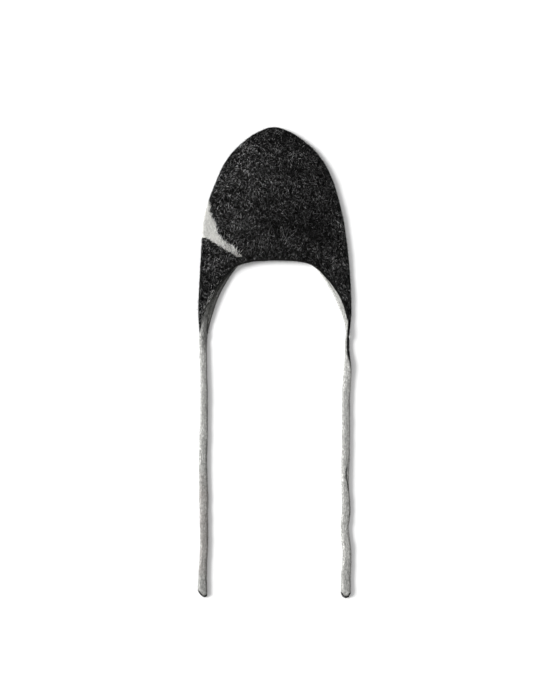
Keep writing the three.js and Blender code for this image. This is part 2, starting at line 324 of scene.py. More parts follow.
def tip_outline(place, end, tip, oval_u, widest):
    """The tip seen from above. Returns the share of the width that is left at each place, how far
    the middle has moved aside as a share of the half width, and how deep each point lies inside
    the outline: 1 - (across^power + t^power)^(1/power), times half of the side's length and
    width together, in metres."""
    meet, left_length, left_power, right_length, right_power = tip
    left_t, left_side = tip_side(place, end, left_length, left_power)
    right_t, right_side = tip_side(place, end, right_length, right_power)
    left_side, right_side = left_side * (1 + meet), right_side * (1 - meet)
    rounding = np.maximum((left_side + right_side) / 2, NARROWEST)
    aside = meet + (right_side - left_side) / 2
    from_meet = aside[:, None] + oval_u[None, :] * rounding[:, None] - meet

    def depth_in(t, facing, reach, length, power):
        measure = np.clip(facing * from_meet / reach, 0, 1) ** power + t[:, None] ** power
        return (1 - measure ** (1 / power)) * ((length + reach * widest) / 2)

    depth = np.where(from_meet < 0, depth_in(left_t, -1, 1 + meet, left_length, left_power),
                     depth_in(right_t, 1, 1 - meet, right_length, right_power))
    past = np.where(from_meet < 0, left_t[:, None], right_t[:, None])
    return rounding, aside, depth + BEFORE_TIP * (1 - soft_step(past, 0.02, 0.2))


def tie_rings(route, tip, seed):
    """The strap: for each of many places down its line, an oval of the strap's width and thickness
    turned about the line, pushed out by the stitches, and set down on its lowest point: on the
    table, or on the flap's back layer where it is still inside. Returns the rings, the line's
    points, the distance down the line, and how deep each point lies inside the tip's outline."""
    down = -route[:, 1] * METRES
    end = down[-1]
    place = np.linspace(down[0], end, TIE_RINGS)
    x = smooth_curve(down, route[:, 0] * METRES)(place)
    turn = np.radians(smooth_curve(down, route[:, 3])(place))
    share = smooth_curve(down[:-3], route[:-3, 2])(place)  # the tip narrows by its own curves
    full_width = TIE_WIDTH / 2 * METRES * share
    oval_u, oval_v = rounded(ring_angles(TIE_SIDES), TIE_SQUARENESS)
    rounding, aside, depth = tip_outline(place, end, tip, oval_u, full_width.max())
    share *= rounding
    line = np.stack([x, -place, 0 * place], 1)
    travelled = distance_along(line)
    share *= 1 + WIDTH_WAVES * unevenness(line, 0.030, seed)
    fullness = FULLNESS(place - FLAP_END) * (1 + FULLNESS_WAVES * unevenness(line, 0.02, seed + 1))
    floor = BACK_LAYER_TOP * (1 - soft_step(place, FLAP_END - 0.001, FLAP_END + 0.009))

    heading = unit(np.gradient(line, axis=0))
    sideways = np.stack([-heading[:, 1], heading[:, 0], 0 * x], 1)
    up = np.array([0, 0, 1.0])
    wide = sideways * np.cos(turn)[:, None] + up * np.sin(turn)[:, None]
    thick = np.cross(heading, wide)

    to_end = np.clip((end - place) / TIE_END_LENGTH, 0, 1)
    end_share = np.clip(to_end * 1.6, 0.25, 1) ** 0.5
    half_width = TIE_WIDTH / 2 * METRES * share
    half_thickness = TIE_THICKNESS / 2 * METRES * end_share * fullness
    across = oval_u * TIE_WIDTH / 2 * METRES
    relief = TIE_RELIEF * (stitch_relief(across[None, :], travelled[:, None]) - RELIEF_MIDDLE)
    relief *= np.clip(to_end * 2, 0, 1)[:, None]
    offset = (
        (oval_u[None, :] * half_width[:, None])[..., None] * wide[:, None, :]
        + (oval_v[None, :] * (half_thickness[:, None] + relief))[..., None] * thick[:, None, :]
    )
    rings = line[:, None, :] + offset
    rings[..., 0] += (aside * full_width)[:, None]
    raised = floor - rings[..., 2].min(axis=1)
    rings[..., 2] += raised[:, None]
    line[:, 0] += aside * full_width
    line[:, 2] = raised
    return rings, line, travelled, depth


left_tie_rings, left_tie_line, left_travelled, left_depth = tie_rings(LEFT_TIE_ROUTE, LEFT_TIP, 11)
right_tie_rings, right_tie_line, right_travelled, right_depth = tie_rings(RIGHT_TIE_ROUTE, RIGHT_TIP, 23)
print("ties, metres:", round(left_travelled[-1], 4), round(right_travelled[-1], 4))

# %% [markdown]
# ## The ties: which side is black
# The strap is knitted light grey on one face and charcoal on the other. The charcoal shows in four
# places: on the underside, as a thin line where the right-hand edge curls up, as a rim round the
# tip, and down the side of the stretch where the right tie stands on its edge. Each is a formula of
# the place on the strap, and the strongest one wins. A number per point, from 0 for grey to 1 for
# charcoal, carries this to the material.
# The same number also holds painted shade where the left tie leaves its flap, in the shade of the flap's
# front.

# %% Where the charcoal edge shows on each tie: from and to in metres down the tie, and how strongly
LEFT_STRETCHES = (
    (0.020, 0.126, 0.40), (0.134, 0.172, 0.65), (0.182, 0.222, 0.60), (0.228, 0.360, 0.22),
    (0.360, 0.420, 0.50),
)
RIGHT_STRETCHES = (
    (0.114, 0.149, 0.40), (0.149, 0.220, 0.12), (0.223, 0.262, 1.00), (0.266, 0.302, 0.80),
    (0.302, 0.430, 0.20),
)
LINE_PLACE = 0.76
LINE_REACH = 0.13
LINE_WANDER = 0.14
STRETCH_SOFTNESS = 0.004
ON_EDGE_LENGTH = 0.080
CURL_PLACE = 0.234
CURL_LENGTH = 0.018
BORDER = -0.62  # how high the dark underside reaches on the strap, from -1 to 1
STANDING_RISE = 0.78
BORDER_SOFTNESS = 0.12
RIM = (0.0024, 0.0036)  # depth inside the tip's outline where the rim fades, in metres
# The painted shade at the start, where the flap's front shades the tie: where it fades, in metres
# down the tie, at the right side and elsewhere
SHADE_FADES_AT_RIGHT, SHADE_FADES = (0.034, 0.066), (0.020, 0.050)
SHADE_ELSEWHERE = 0.3


def tie_darkness(line, travelled, depth, stretches, curl, on_edge, start_painted_shade):
    """1 on the charcoal and 0 on the light face. The underside is dark below a low border. The
    edge line is a Gaussian of the place across, in the given stretches, and the curl draws it in
    towards the middle for a short way. The rim is dark where a place lies about three millimetres
    or less inside the tip's outline. on_edge lifts the border to the standing edge, and the painted
    shade at the start darkens the tie where it leaves the flap and lies in the shade of its front,
    longer at its right side, away from the light."""
    angle = ring_angles(TIE_SIDES)
    across = rounded(angle, TIE_SQUARENESS)[0][None, :]
    height = np.sin(angle)[None, :]
    down = travelled[:, None]
    rightness = np.clip(across, 0, 1) ** 2
    standing = on_edge * (1 - soft_step(down, ON_EDGE_LENGTH - 0.02, ON_EDGE_LENGTH + 0.01))
    border = BORDER + STANDING_RISE * standing * rightness
    underside = soft_step(border - height, -BORDER_SOFTNESS, BORDER_SOFTNESS)
    strength = sum(
        share * soft_step(down, start - STRETCH_SOFTNESS, start + STRETCH_SOFTNESS)
        * (1 - soft_step(down, end - STRETCH_SOFTNESS, end + STRETCH_SOFTNESS))
        for start, end, share in stretches)
    place = LINE_PLACE + LINE_WANDER * unevenness(line, 0.05, 14)[:, None] * (1 - standing)
    curled = curl * np.exp(-(((down - CURL_PLACE) / CURL_LENGTH) ** 2))
    from_line = (across - place + curled) / (LINE_REACH * (1 + 2 * curled))
    edge = strength * np.exp(-(from_line**2)) * soft_step(height, -0.6, -0.1)
    rim = 1 - soft_step(depth, *RIM)
    shade = start_painted_shade * np.maximum(
        soft_step(across, -0.8, 0.3) * (1 - soft_step(down, *SHADE_FADES_AT_RIGHT)),
        SHADE_ELSEWHERE * (1 - soft_step(down, *SHADE_FADES)))
    return np.maximum.reduce([underside, edge, rim, shade + 0 * height])


# The left tie's start carries painted shade from the flap's front.
left_dark = tie_darkness(left_tie_line, left_travelled, left_depth, LEFT_STRETCHES,
                         curl=0.0, on_edge=0.0, start_painted_shade=0.68)
right_dark = tie_darkness(right_tie_line, right_travelled, right_depth, RIGHT_STRETCHES,
                          curl=0.45, on_edge=1.0, start_painted_shade=0.0)
print("charcoal share of the ties:", round(float(left_dark.mean()), 2), round(float(right_dark.mean()), 2))

# %% [markdown]
# ## The ties: objects
# Each strap becomes a closed mesh in place of its plain solid. Its UV runs round the strap and down
# it, in metres. Two more numbers describe the yarn: the warmth marks the stretch of the left tie
# where it has a brownish cast, and the paleness falls slowly towards the tips. The paleness is also
# highest along the left-hand edge: painted light on the side that faces the light.

# %% Tie objects
WARM_FROM, WARM_TO = 0.245, 0.375
# painted light along a tie's left-hand edge, which faces the light; the rest keeps this share
LEAST_PAINTED_LIGHT = 0.74  # paleness away from the left-hand edge, where it is 1


def make_tie(name, node, rings, line, travelled, dark, warm, palest, darkest):
    """A closed strap from its rings, with the dark, warmth and paleness numbers per point."""
    oval_u = rounded(ring_angles(TIE_SIDES), TIE_SQUARENESS)[0]
    around = oval_u * TIE_WIDTH / 2 * METRES
    uv = np.stack(np.broadcast_arrays(around[None, :], travelled[:, None]), -1).reshape(-1, 2)
    stretch = soft_step(travelled, WARM_FROM - 0.02, WARM_FROM) * (
        1 - soft_step(travelled, WARM_TO, WARM_TO + 0.02))
    warmth = warm * stretch * (0.65 + 0.35 * unevenness(line, 0.03, 5))
    paleness = palest + (darkest - palest) * travelled / travelled[-1]
    paleness = paleness * (1 + 0.07 * unevenness(line, 0.045, 15))
    # painted light, palest at the left-hand edge
    painted_light_on_left = LEAST_PAINTED_LIGHT + (1 - LEAST_PAINTED_LIGHT) * soft_step(-oval_u, 0.1, 0.95)
    piece = make_piece(
        name, rings.reshape(-1, 3), rings_to_mesh(rings), "grey_knit", uv=uv, dark=dark.ravel(),
        warmth=np.repeat(warmth, TIE_SIDES), paleness=(paleness[:, None] * painted_light_on_left[None, :]).ravel(),
    )
    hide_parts(node)
    return piece


left_tie = make_tie(
    "tie_left_knit", "tie_left", left_tie_rings, left_tie_line, left_travelled, left_dark,
    warm=1.0, palest=0.96, darkest=0.68)
right_tie = make_tie(
    "tie_right_knit", "tie_right", right_tie_rings, right_tie_line, right_travelled, right_dark,
    warm=0.0, palest=0.96, darkest=0.79)

# %% [markdown]
# ## The crown: its measured outline
# The cap is a flattened sack. Seen from above, one table gives how wide each half is at a distance
# down from the point, and how high the front stands above the table there. A second table gives
# where the knit ends: high in the middle, where the face looks out, and low at the ear flaps. The
# back of each flap reaches a little further in than the front.

# %% Tables of the crown, in millimetres
KNIT_THICKNESS = 3.2
HALF_GAP = 0.02
APEX_Y = 156.0
APEX_HEIGHT = 4.0
APEX_ROUNDING = 8.0
SIDE_FOLD_RADIUS = 3.8
FOLD_ROUNDING = 1.3
FOLD_BLEND = 4
OUTLINE = np.array([
    # down from the point, left half width, right half width, top
    (0, 0, 0, 4),
    (4.5, 18, 18, 9),
    (13.5, 34.5, 34.5, 11.5),
    (22.5, 46.5, 46.5, 13.5),
    (40.5, 64.5, 65.5, 16.5),
    (58.5, 76.5, 78, 18.8),
    (85.5, 88.5, 90, 20),
    (109.5, 97.5, 97, 19.5),
    (132, 103.5, 102.5, 17.8),
    (154.5, 107, 106.5, 15),
    (184.5, 108.8, 110.2, 12.4),
    (214.5, 110.7, 113.1, 10.6),
    (244.5, 112.2, 115, 9.6),
    (274.5, 113.3, 115.6, 9.6),
    (297, 112.2, 114.2, 9.6),
    (312, 111, 112.6, 9.6),
])
OPENING = np.array([
    # share of the half width, then the lower end: front left, front right, back left, back right
    (0, 195.9, 195.9, 193.5, 193.5),
    (0.25, 197.3, 196.7, 195, 194.2),
    (0.4, 200.2, 199, 198, 196.5),
    (0.5, 203.4, 202.2, 203.9, 201),
    (0.6, 210.6, 209.9, 217.2, 210.5),
    (0.68, 220, 219.2, 232, 224),
    (0.75, 230.5, 228.4, 247.3, 238),
    (0.82, 243.5, 240.2, 269.2, 253.5),
    (0.86, 252.5, 247.4, 286.5, 264),
    (0.905, 264.5, 257.6, 312, 281),
    (0.94, 276, 268.5, 312, 298),
    (0.975, 292, 285.5, 312, 312),
    (1, 312, 312, 312, 312),
])
FRONT_FOLDS = (
    # from x, from y, to x, to y, depth, reach
    (88, 30, 34, -14, 1.8, 12),
    (40, 70, 36, 20, 1, 11),
)
SIDE = {"left": -1, "right": 1}
TABLE_COLUMN = {"left": 1, "right": 2}  # in both tables; for the back it is two further on
half_width_squared = {
    half: smooth_curve(OUTLINE[:, 0], OUTLINE[:, column] ** 2)
    for half, column in TABLE_COLUMN.items()}
rise_squared = smooth_curve(OUTLINE[:, 0], (OUTLINE[:, 3] - APEX_HEIGHT) ** 2)
front_end = {
    half: smooth_curve(OPENING[:, 0], OPENING[:, column]) for half, column in TABLE_COLUMN.items()}
back_end = {
    half: smooth_curve(OPENING[:, 0], OPENING[:, column + 2]) for half, column in TABLE_COLUMN.items()}
print("widest, millimetres:", OUTLINE[:, 1].max() + OUTLINE[:, 2].max())

# %% [markdown]
# ## The crown: one surface for both layers
# Two numbers say where we are on one half of the sack. The angle goes from the middle of the front
# (0) round the side fold (a quarter turn) to the middle of the back (a half turn). The distance
# down goes from the point to the opening. Shapes like this could be sculpted or inflated by a
# cloth simulation, but the cap only lies there, and a formula keeps its measured outline exact.


# %% The crown's surface
def fold_depth(x, y):
    """How deep the soft folds press the front: for each fold a Gaussian of the distance to its
    line, in millimetres."""
    depth = np.zeros(np.shape(x))
    for from_x, from_y, to_x, to_y, deepest, reach in FRONT_FOLDS:
        run = np.array([to_x - from_x, to_y - from_y], float)
        share = np.clip(((x - from_x) * run[0] + (y - from_y) * run[1]) / (run @ run), 0, 1)
        away = np.hypot(x - from_x - share * run[0], y - from_y - share * run[1])
        depth = depth + deepest * np.exp(-((away / reach) ** 2))
    return depth


def reach_down(half, angle):
    """Where the knit ends below an angle, down from the point."""
    across = np.sin(angle)
    return np.where(angle <= np.pi / 2, front_end[half](across), back_end[half](across))


def fall(along):
    """Share of the way down at a share of the rows: slow at the point, where the knit curves
    most, then even: along^2 (3 - along) / 2."""
    return along**2 * (3 - along) / 2


def cap_surface(half, angle, down):
    """Outer face in millimetres. x is the half width times sin(angle). The back is flat on the table
    and turns up near the side as a quarter of an ellipse. The front is its mirror image, raised by
    a low dome that falls off as 1-across^2, less the folds."""
    across = np.sin(angle)
    width = np.sqrt(np.clip(half_width_squared[half](down), 0, None))
    near_apex = np.clip(1 - down / APEX_ROUNDING, 0, None)
    base = APEX_HEIGHT * (1 - np.sqrt(1 - near_apex**2))
    top = APEX_HEIGHT + np.sqrt(np.clip(rise_squared(down), 0, None))
    height = top - base
    radius = height / 2 / (1 + (height / 2 / SIDE_FOLD_RADIUS) ** FOLD_BLEND) ** (1 / FOLD_BLEND)
    x = SIDE[half] * (HALF_GAP + np.clip(width - HALF_GAP, 0, None) * across)
    y = APEX_Y - down + 0 * across
    flat_share = np.clip(1 - FOLD_ROUNDING * radius / np.maximum(width, 0.01), 0, None)
    rounding = np.clip((across - flat_share) / np.maximum(1 - flat_share, 1e-6), 0, 1)
    turned = radius * np.sqrt(1 - rounding**2)
    dome = (height - 2 * radius - fold_depth(x, y)) * (1 - across**2)
    lift = np.where(angle <= np.pi / 2, turned + dome, -turned)
    lift = np.where(width < HALF_GAP, 0, lift)
    return np.stack([x, y, base + radius + lift], -1)


def cap_outward(half, angle, along):
    """Unit vector out of the knit: the cross product of a small step round and a small step down."""
    small = 1e-3

    def at(turn, share):
        turn = np.clip(turn, 0, np.pi)
        return cap_surface(half, turn, reach_down(half, turn) * fall(share))

    around = at(angle + small, along) - at(angle - small, along)
    downward = at(angle, np.minimum(along + small, 1)) - at(angle, np.maximum(along - small, 0))
    outward = np.cross(around, downward) * -SIDE[half]
    length = np.linalg.norm(outward, axis=-1, keepdims=True)
    apex = along < 1e-6
    outward = np.where(length > 1e-12, outward / np.maximum(length, 1e-12), (0, 1.0, 0))
    return np.where(apex[..., None], (0, 1.0, 0), outward)


print("front where it stands highest, millimetres:",
      cap_surface("left", np.array([0.0]), OUTLINE[OUTLINE[:, 3].argmax(), :1])[0].round(2))

# %% [markdown]
# ## The crown: two skins and their rims
# Knit this thick has an outside and an inside that we both see, so each half is a closed shell:
# a fine outer skin, a coarser inner skin 3.2 mm under it, and rims along the centre seam and the
# opening. The outer skin has three times the rows and columns of the inner one. Where the two meet
# at a rim, each coarse edge takes three fine ones.

# %% Grid sizes
FINE = 3
INNER_COLUMNS = 92
INNER_ROWS = 84
COLUMNS = INNER_COLUMNS * FINE
ROWS = INNER_ROWS * FINE


def skin_triangles(first, rows, columns):
    """Triangles of a skin whose rows all start from one shared point, facing the viewer when the
    columns run to the left and the rows down."""
    row, column = np.meshgrid(np.arange(1, rows), np.arange(columns), indexing="ij")
    a = (first + 1 + (row - 1) * (columns + 1) + column).ravel()
    b, c, d = a + 1, a + columns + 2, a + columns + 1
    k = first + 1 + np.arange(columns)
    cap = np.stack([np.full(columns, first), k + 1, k], 1)
    return np.concatenate([cap, np.stack([a, b, c], 1), np.stack([a, c, d], 1)])


def rim_triangles(fine, coarse):
    """Joins a fine border to a coarse one: each fine edge runs to its nearest coarse point, and
    each coarse edge to the fine point at its middle."""
    edge = np.arange(len(fine) - 1)
    nearest = coarse[(edge + FINE // 2) // FINE]
    middle = fine[np.arange(len(coarse) - 1) * FINE + FINE // 2 + 1]
    return np.concatenate([
        np.stack([fine[:-1], fine[1:], nearest], 1),
        np.stack([middle, coarse[1:], coarse[:-1]], 1),
    ])


# %% [markdown]
# ## The crown: softness
# Three small things make the knit look soft: a slow waviness as of cloth that has been worn, a
# finer unevenness where the knit is thicker or thinner, and a shallow valley along the centre seam,
# where the two halves are drawn together. The columns of stitches also stand out as faint ribs.

# %% Grid of one half, with its softness
SLOW_WAVES, SLOW_WAVELENGTH, SLOW_SEED = 0.4, 42, 3
FINE_WAVES, FINE_WAVELENGTH, FINE_SEED = 0.22, 11, 4
RIB_HEIGHT = 0.16
SEAM_DEPTH = 0.2
SEAM_REACH = 2.2
CALM_LENGTH = 12  # the point stays calm down to here, in millimetres
SECTIONS = 209


def rib_distance(half, angle, down):
    """Distance from the middle of the front, measured over the surface at a constant distance
    down, in millimetres: lengths added up along a table of sections, then read off per point."""
    table_down = np.linspace(0, OUTLINE[-1, 0], SECTIONS)
    sections = cap_surface(half, angle[None, :], table_down[:, None])
    steps = np.linalg.norm(np.diff(sections, axis=1), axis=-1)
    table = np.concatenate([np.zeros((len(table_down), 1)), np.cumsum(steps, axis=1)], axis=1)
    place = np.clip(down / (table_down[1] - table_down[0]), 0, len(table_down) - 1.001)
    row = place.astype(int)
    share = place - row
    column = np.broadcast_to(np.arange(len(angle)), down.shape)
    return table[row, column] * (1 - share) + table[row + 1, column] * share


def half_skins(half, rows, columns):
    """Outer and inner skin of a half on a grid, with distances over the surface, millimetres."""
    angle = np.linspace(0, np.pi, columns + 1)
    along = np.linspace(0, 1, rows + 1)
    turn, share = np.meshgrid(angle, along)
    down = reach_down(half, turn) * fall(share)
    outer = cap_surface(half, turn, down)
    outward = cap_outward(half, turn, share)
    inner = outer - KNIT_THICKNESS * outward
    across = rib_distance(half, angle, down)
    waves = (SLOW_WAVES * unevenness(outer, SLOW_WAVELENGTH, SLOW_SEED)
             + FINE_WAVES * unevenness(outer, FINE_WAVELENGTH, FINE_SEED))
    calm = np.clip(down / CALM_LENGTH, 0, 1)
    waves *= np.abs(outward[..., 2])
    ribs = RIB_HEIGHT * np.cos(2 * np.pi * across * METRES / STITCH_WIDTH) * calm
    seam = SEAM_DEPTH * np.exp(-((across / SEAM_REACH) ** 2)) * (share > 0)
    outer = outer + (waves * calm + ribs - seam * calm)[..., None] * outward
    inner = inner + (waves * calm)[..., None] * outward
    middle = np.isin(np.arange(columns + 1), (0, columns))
    for skin in (outer, inner):
        skin[1:, middle, 0] = SIDE[half] * HALF_GAP
        skin[..., 2] = np.maximum(skin[..., 2], 0)
    return outer, inner, across, down


# %% [markdown]
# ## The crown: the light inside
# The inside of the knit is light grey, and it shows where the back of each flap reaches past the
# front. Inside the left flap, where the front layer shades it, the grey is painted darker as
# painted shade, an olive grey that grows lighter towards the tie. A number called tone, from 0 for
# charcoal to 1 for the lightest grey, says this for any place.


# %% Tone of the inside, with places in millimetres
FLAP_BEGINS_ACROSS, FLAP_BEGINS_DOWN = (40, 62), (40, 60)
# how much of the tone the painted shade takes in the left flap, and how much comes back above the tie
TONE_TAKEN, TONE_GIVEN_BACK = 0.89, 0.46
ABOVE_TIE = (96, 126)
# A line along the slanting end of the front: how far left and how far down one place of it lies,
# and how far it runs to the left for each millimetre down
FRONT_LINE_LEFT, FRONT_LINE_DOWN, FRONT_LINE_SLANT = 104.7, 121.5, 0.43
NEAR_FRONT = (2.5, 6.5)


def inner_tone(x, y):
    """Light everywhere except in the left flap, where two soft steps, one across and one down,
    take most of it away as painted shade under the front layer. Some comes back above the tie, close
    to the slanting end of the front."""
    in_flap = soft_step(-x, *FLAP_BEGINS_ACROSS) * soft_step(-y, *FLAP_BEGINS_DOWN)
    from_front = x + FRONT_LINE_LEFT + FRONT_LINE_SLANT * (-y - FRONT_LINE_DOWN)
    above_tie = soft_step(-y, *ABOVE_TIE) * (1 - soft_step(from_front, *NEAR_FRONT))
    return 1 - in_flap * (TONE_TAKEN - TONE_GIVEN_BACK * above_tie)


print("tone in the left flap and in the right one:",
      inner_tone(-95.0, -100.0).round(2), inner_tone(95.0, -100.0).round(2))

# %% [markdown]
# ## The crown: the two halves as objects
# The fine grid gives the outer skin, and every third row and column of it the inner one. The number
# called inside is 0 on the outer skin and 1 on the inner one, so that one material can knit both
# faces. It is also 1 along the hem of the back, where the grey turns over the rim.


# %% Build the halves
def make_half(half, name, node):
    """A closed shell for one half, with its UV and numbers. Also returns its outer skin."""
    outer, inner, across, down = half_skins(half, ROWS, COLUMNS)
    inner = inner[::FINE, ::FINE]
    columns_inside = inner.shape[1] - 1
    outer_points = np.concatenate([outer[0, :1], outer[1:].reshape(-1, 3)])
    inner_points = np.concatenate([inner[0, :1], inner[1:].reshape(-1, 3)])
    first = len(outer_points)

    def at_outer(row, column):
        return np.where(row == 0, 0, 1 + (row - 1) * (COLUMNS + 1) + column)

    def at_inner(row, column):
        return np.where(row == 0, first, first + 1 + (row - 1) * (columns_inside + 1) + column)

    outer_triangles = skin_triangles(0, ROWS, COLUMNS)
    inner_triangles = skin_triangles(first, INNER_ROWS, columns_inside)[:, ::-1]
    rows_fine, rows_coarse = np.arange(ROWS + 1), np.arange(INNER_ROWS + 1)
    columns_fine, columns_coarse = np.arange(COLUMNS + 1), np.arange(columns_inside + 1)
    front = rim_triangles(at_outer(rows_fine, 0), at_inner(rows_coarse, 0))
    back = rim_triangles(at_outer(rows_fine, COLUMNS), at_inner(rows_coarse, columns_inside))
    hem = rim_triangles(at_outer(ROWS, columns_fine), at_inner(INNER_ROWS, columns_coarse))
    triangles = np.concatenate([outer_triangles, inner_triangles, front, back[:, ::-1], hem])
    if half == "right":
        triangles = triangles[:, ::-1]
    points = np.concatenate([outer_points, inner_points])
    flat = np.stack([across, down], -1) * METRES
    coarse = flat[::FINE, ::FINE]
    uv = np.concatenate([flat[0, :1], flat[1:].reshape(-1, 2),
                         coarse[0, :1], coarse[1:].reshape(-1, 2)])
    outside_rim = np.zeros((ROWS, COLUMNS + 1))
    outside_rim[-1, COLUMNS * 5 // 8:] = 1
    inside = np.concatenate([[0], outside_rim.ravel(), np.ones(len(inner_points))])
    tone = inner_tone(points[:, 0], points[:, 1])
    piece = make_piece(name, points * METRES, triangles, "charcoal_knit", uv=uv, inside=inside, tone=tone)
    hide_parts(node)
    return piece, points * METRES, triangles[:len(outer_triangles)]


left_half, left_points, left_outside = make_half("left", "crown_left_knit", "crown_left")
right_half, right_points, right_outside = make_half("right", "crown_right_knit", "crown_right")

# %% [markdown]
# ## The edges of the opening
# The opening is finished with a narrow rolled edge, smoother than the brushed knit. It is a small
# oval carried round the lower end of each layer. At both ends it thins out and dies away along the
# flap, where the ties take over. The edge of the front is charcoal. The edge of the back shows the
# colour of the inside in the flaps, with the painted shade of the left one. It curls up in the left
# one and is pressed flat in the right.

# %% Rolled edges
EDGE_WIDTH = 4.2
EDGE_THICKNESS = 3.8
EDGE_THICKNESS_IN_LEFT_FLAP = 6.0
EDGE_THICKNESS_IN_RIGHT_FLAP = 3.4
EDGE_OVERLAP = 0.3  # how far the edge reaches into the knit
EDGE_RINGS = 420
EDGE_SIDES = 20
EDGE_RIB = 0.16
EDGE_RIB_LENGTH = 2.6
EDGE_SQUARENESS = 0.8
THICKENS_ACROSS = (45, 85)
TONE_BEGINS_ACROSS = (38, 58)
FACE_EDGE_TAPER = 26.0
NAPE_EDGE_TAPER = 42.0


def make_edge(name, node, layer, taper, left_turn, right_turn):
    """A rolled edge: a rounded oval carried along the end of one layer, from an angle on the left
    half over the middle to an angle on the right half. Its centre lies outside the end of the
    knit by half its width less the overlap, and a low ripple runs along it."""
    turn = np.linspace(-left_turn, right_turn, EDGE_RINGS)
    points, outwards = [], []
    for half, chosen in (("left", turn[turn < 0]), ("right", turn[turn >= 0])):
        angle = np.abs(chosen) if layer == "front" else np.pi - np.abs(chosen)
        points.append(cap_surface(half, angle, reach_down(half, angle)))
        outwards.append(cap_outward(half, angle, np.ones_like(angle)))
    hem, outward = np.concatenate(points), np.concatenate(outwards)
    hem = hem + (SLOW_WAVES * unevenness(hem, SLOW_WAVELENGTH, SLOW_SEED))[:, None] * outward
    run = unit(np.gradient(hem, axis=0))
    away = unit(np.cross(outward, run))
    away = np.where(away[:, 1:2] > 0, -away, away)
    thick = np.cross(run, away)
    travelled = distance_along(hem)
    ends = np.minimum(travelled, travelled[-1] - travelled)
    share = 0.05 + 0.95 * soft_step(ends, 0, taper) ** 0.7
    centre = hem - outward * KNIT_THICKNESS / 2
    centre += away * (EDGE_WIDTH / 2 * share - EDGE_OVERLAP)[:, None]
    angle = ring_angles(EDGE_SIDES)
    ripple = EDGE_RIB * np.cos(2 * np.pi * travelled / EDGE_RIB_LENGTH)
    u, v = rounded(angle, EDGE_SQUARENESS)
    in_flap = soft_step(np.abs(centre[:, 0]), *THICKENS_ACROSS) if layer == "back" else 0
    final = np.where(centre[:, 0] < 0, EDGE_THICKNESS_IN_LEFT_FLAP, EDGE_THICKNESS_IN_RIGHT_FLAP)
    thickness = EDGE_THICKNESS + (final - EDGE_THICKNESS) * in_flap
    half_thickness = (thickness / 2 + ripple) * (0.5 + 0.5 * share)
    centre[:, 2] = np.maximum(centre[:, 2], half_thickness)
    half_width = EDGE_WIDTH / 2 * share
    rings = centre[:, None, :] + (u[None, :] * half_width[:, None])[..., None] * away[:, None, :]
    rings = rings + (v[None, :] * half_thickness[:, None])[..., None] * thick[:, None, :]
    uv = np.stack(np.broadcast_arrays((angle * EDGE_WIDTH / 2)[None, :], travelled[:, None]), -1)
    # the back's edge takes the inside's tone, painted shade of the left flap included
    toned = soft_step(np.abs(rings[..., 0]), *TONE_BEGINS_ACROSS) if layer == "back" else 0
    tone = toned * inner_tone(rings[..., 0], rings[..., 1])
    triangles = rings_to_mesh(rings)
    piece = make_piece(name, rings.reshape(-1, 3) * METRES, triangles, "charcoal_edge",
                       uv=uv.reshape(-1, 2) * METRES, tone=tone.ravel())
    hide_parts(node)
    return piece, rings.reshape(-1, 3) * METRES, triangles, tone.ravel()


COLUMN_TURN = np.pi / 2 / 14  # the solid model has 14 columns from the middle to the side fold
face_edge, face_points, face_triangles, face_tone = make_edge(
    "face_edge_knit", "face_edge", "front", FACE_EDGE_TAPER, 12 * COLUMN_TURN, 12.7 * COLUMN_TURN)
nape_edge, nape_points, nape_triangles, nape_tone = make_edge(
    "nape_edge_knit", "nape_edge", "back", NAPE_EDGE_TAPER, 10 * COLUMN_TURN, 11 * COLUMN_TURN)

# %% [markdown]
# ## The cream patch
# A plain cream patch is knitted into the left side and runs round the side fold. Knitted shapes
# have stepped borders, because a stitch is either one colour or the other. Here the border is two
# lines, each giving x for a y. The material asks whether the middle of a stitch lies between
# them, and so it changes colour in whole stitches. A hair asks it for its own root, moved a
# little, which leaves the border ragged.

# %% Border of the patch, in millimetres: y, and x of the right-hand and the left-hand line
PATCH_TOP = 44.0
PATCH_RIGHT = np.array([
    (-38.4, -48.9), (-37, -49.5), (-35.2, -51.8), (-29.4, -55.8), (-24, -61.4), (-16.2, -75),
    (-9, -80.7), (-1.8, -84.3), (8.7, -86.3), (14.3, -90.3), (19, -92.7), (25.5, -95.2),
    (36, -94.8), (43.2, -96.8), (45, -110),
])
PATCH_LEFT = np.array([
    (-39, -53.3), (-37.2, -57.3), (-33.7, -62.1), (-30, -67.8), (-26.2, -75),
    (-22.7, -79.8), (-18.8, -87), (-13.8, -94.4), (-9.9, -101.6), (-8.7, -120),
])


def in_patch(x, y):
    """1 between the two lines and 0 outside, for places in millimetres."""
    right = np.interp(y, PATCH_RIGHT[:, 0], PATCH_RIGHT[:, 1], left=-200, right=-200)
    left = np.interp(y, PATCH_LEFT[:, 0], PATCH_LEFT[:, 1], left=0, right=-200)
    return ((x < right) & (x > left)).astype(float)


print("patch holds the middle of the fold:", in_patch(np.array([-100.0]), np.array([10.0]))[0] == 1)

# %% [markdown]
# ## Hairs
# Brushed knit is covered by a nap of short fibres that lie almost flat, and mohair adds a haze of
# longer hairs. Strand systems don't survive an export, so each hair is a tiny closed mesh: a
# three-sided needle. A nap fibre is straight and has four triangles. A mohair is bent once and has
# ten. All the hairs of a region are worked out together as arrays.


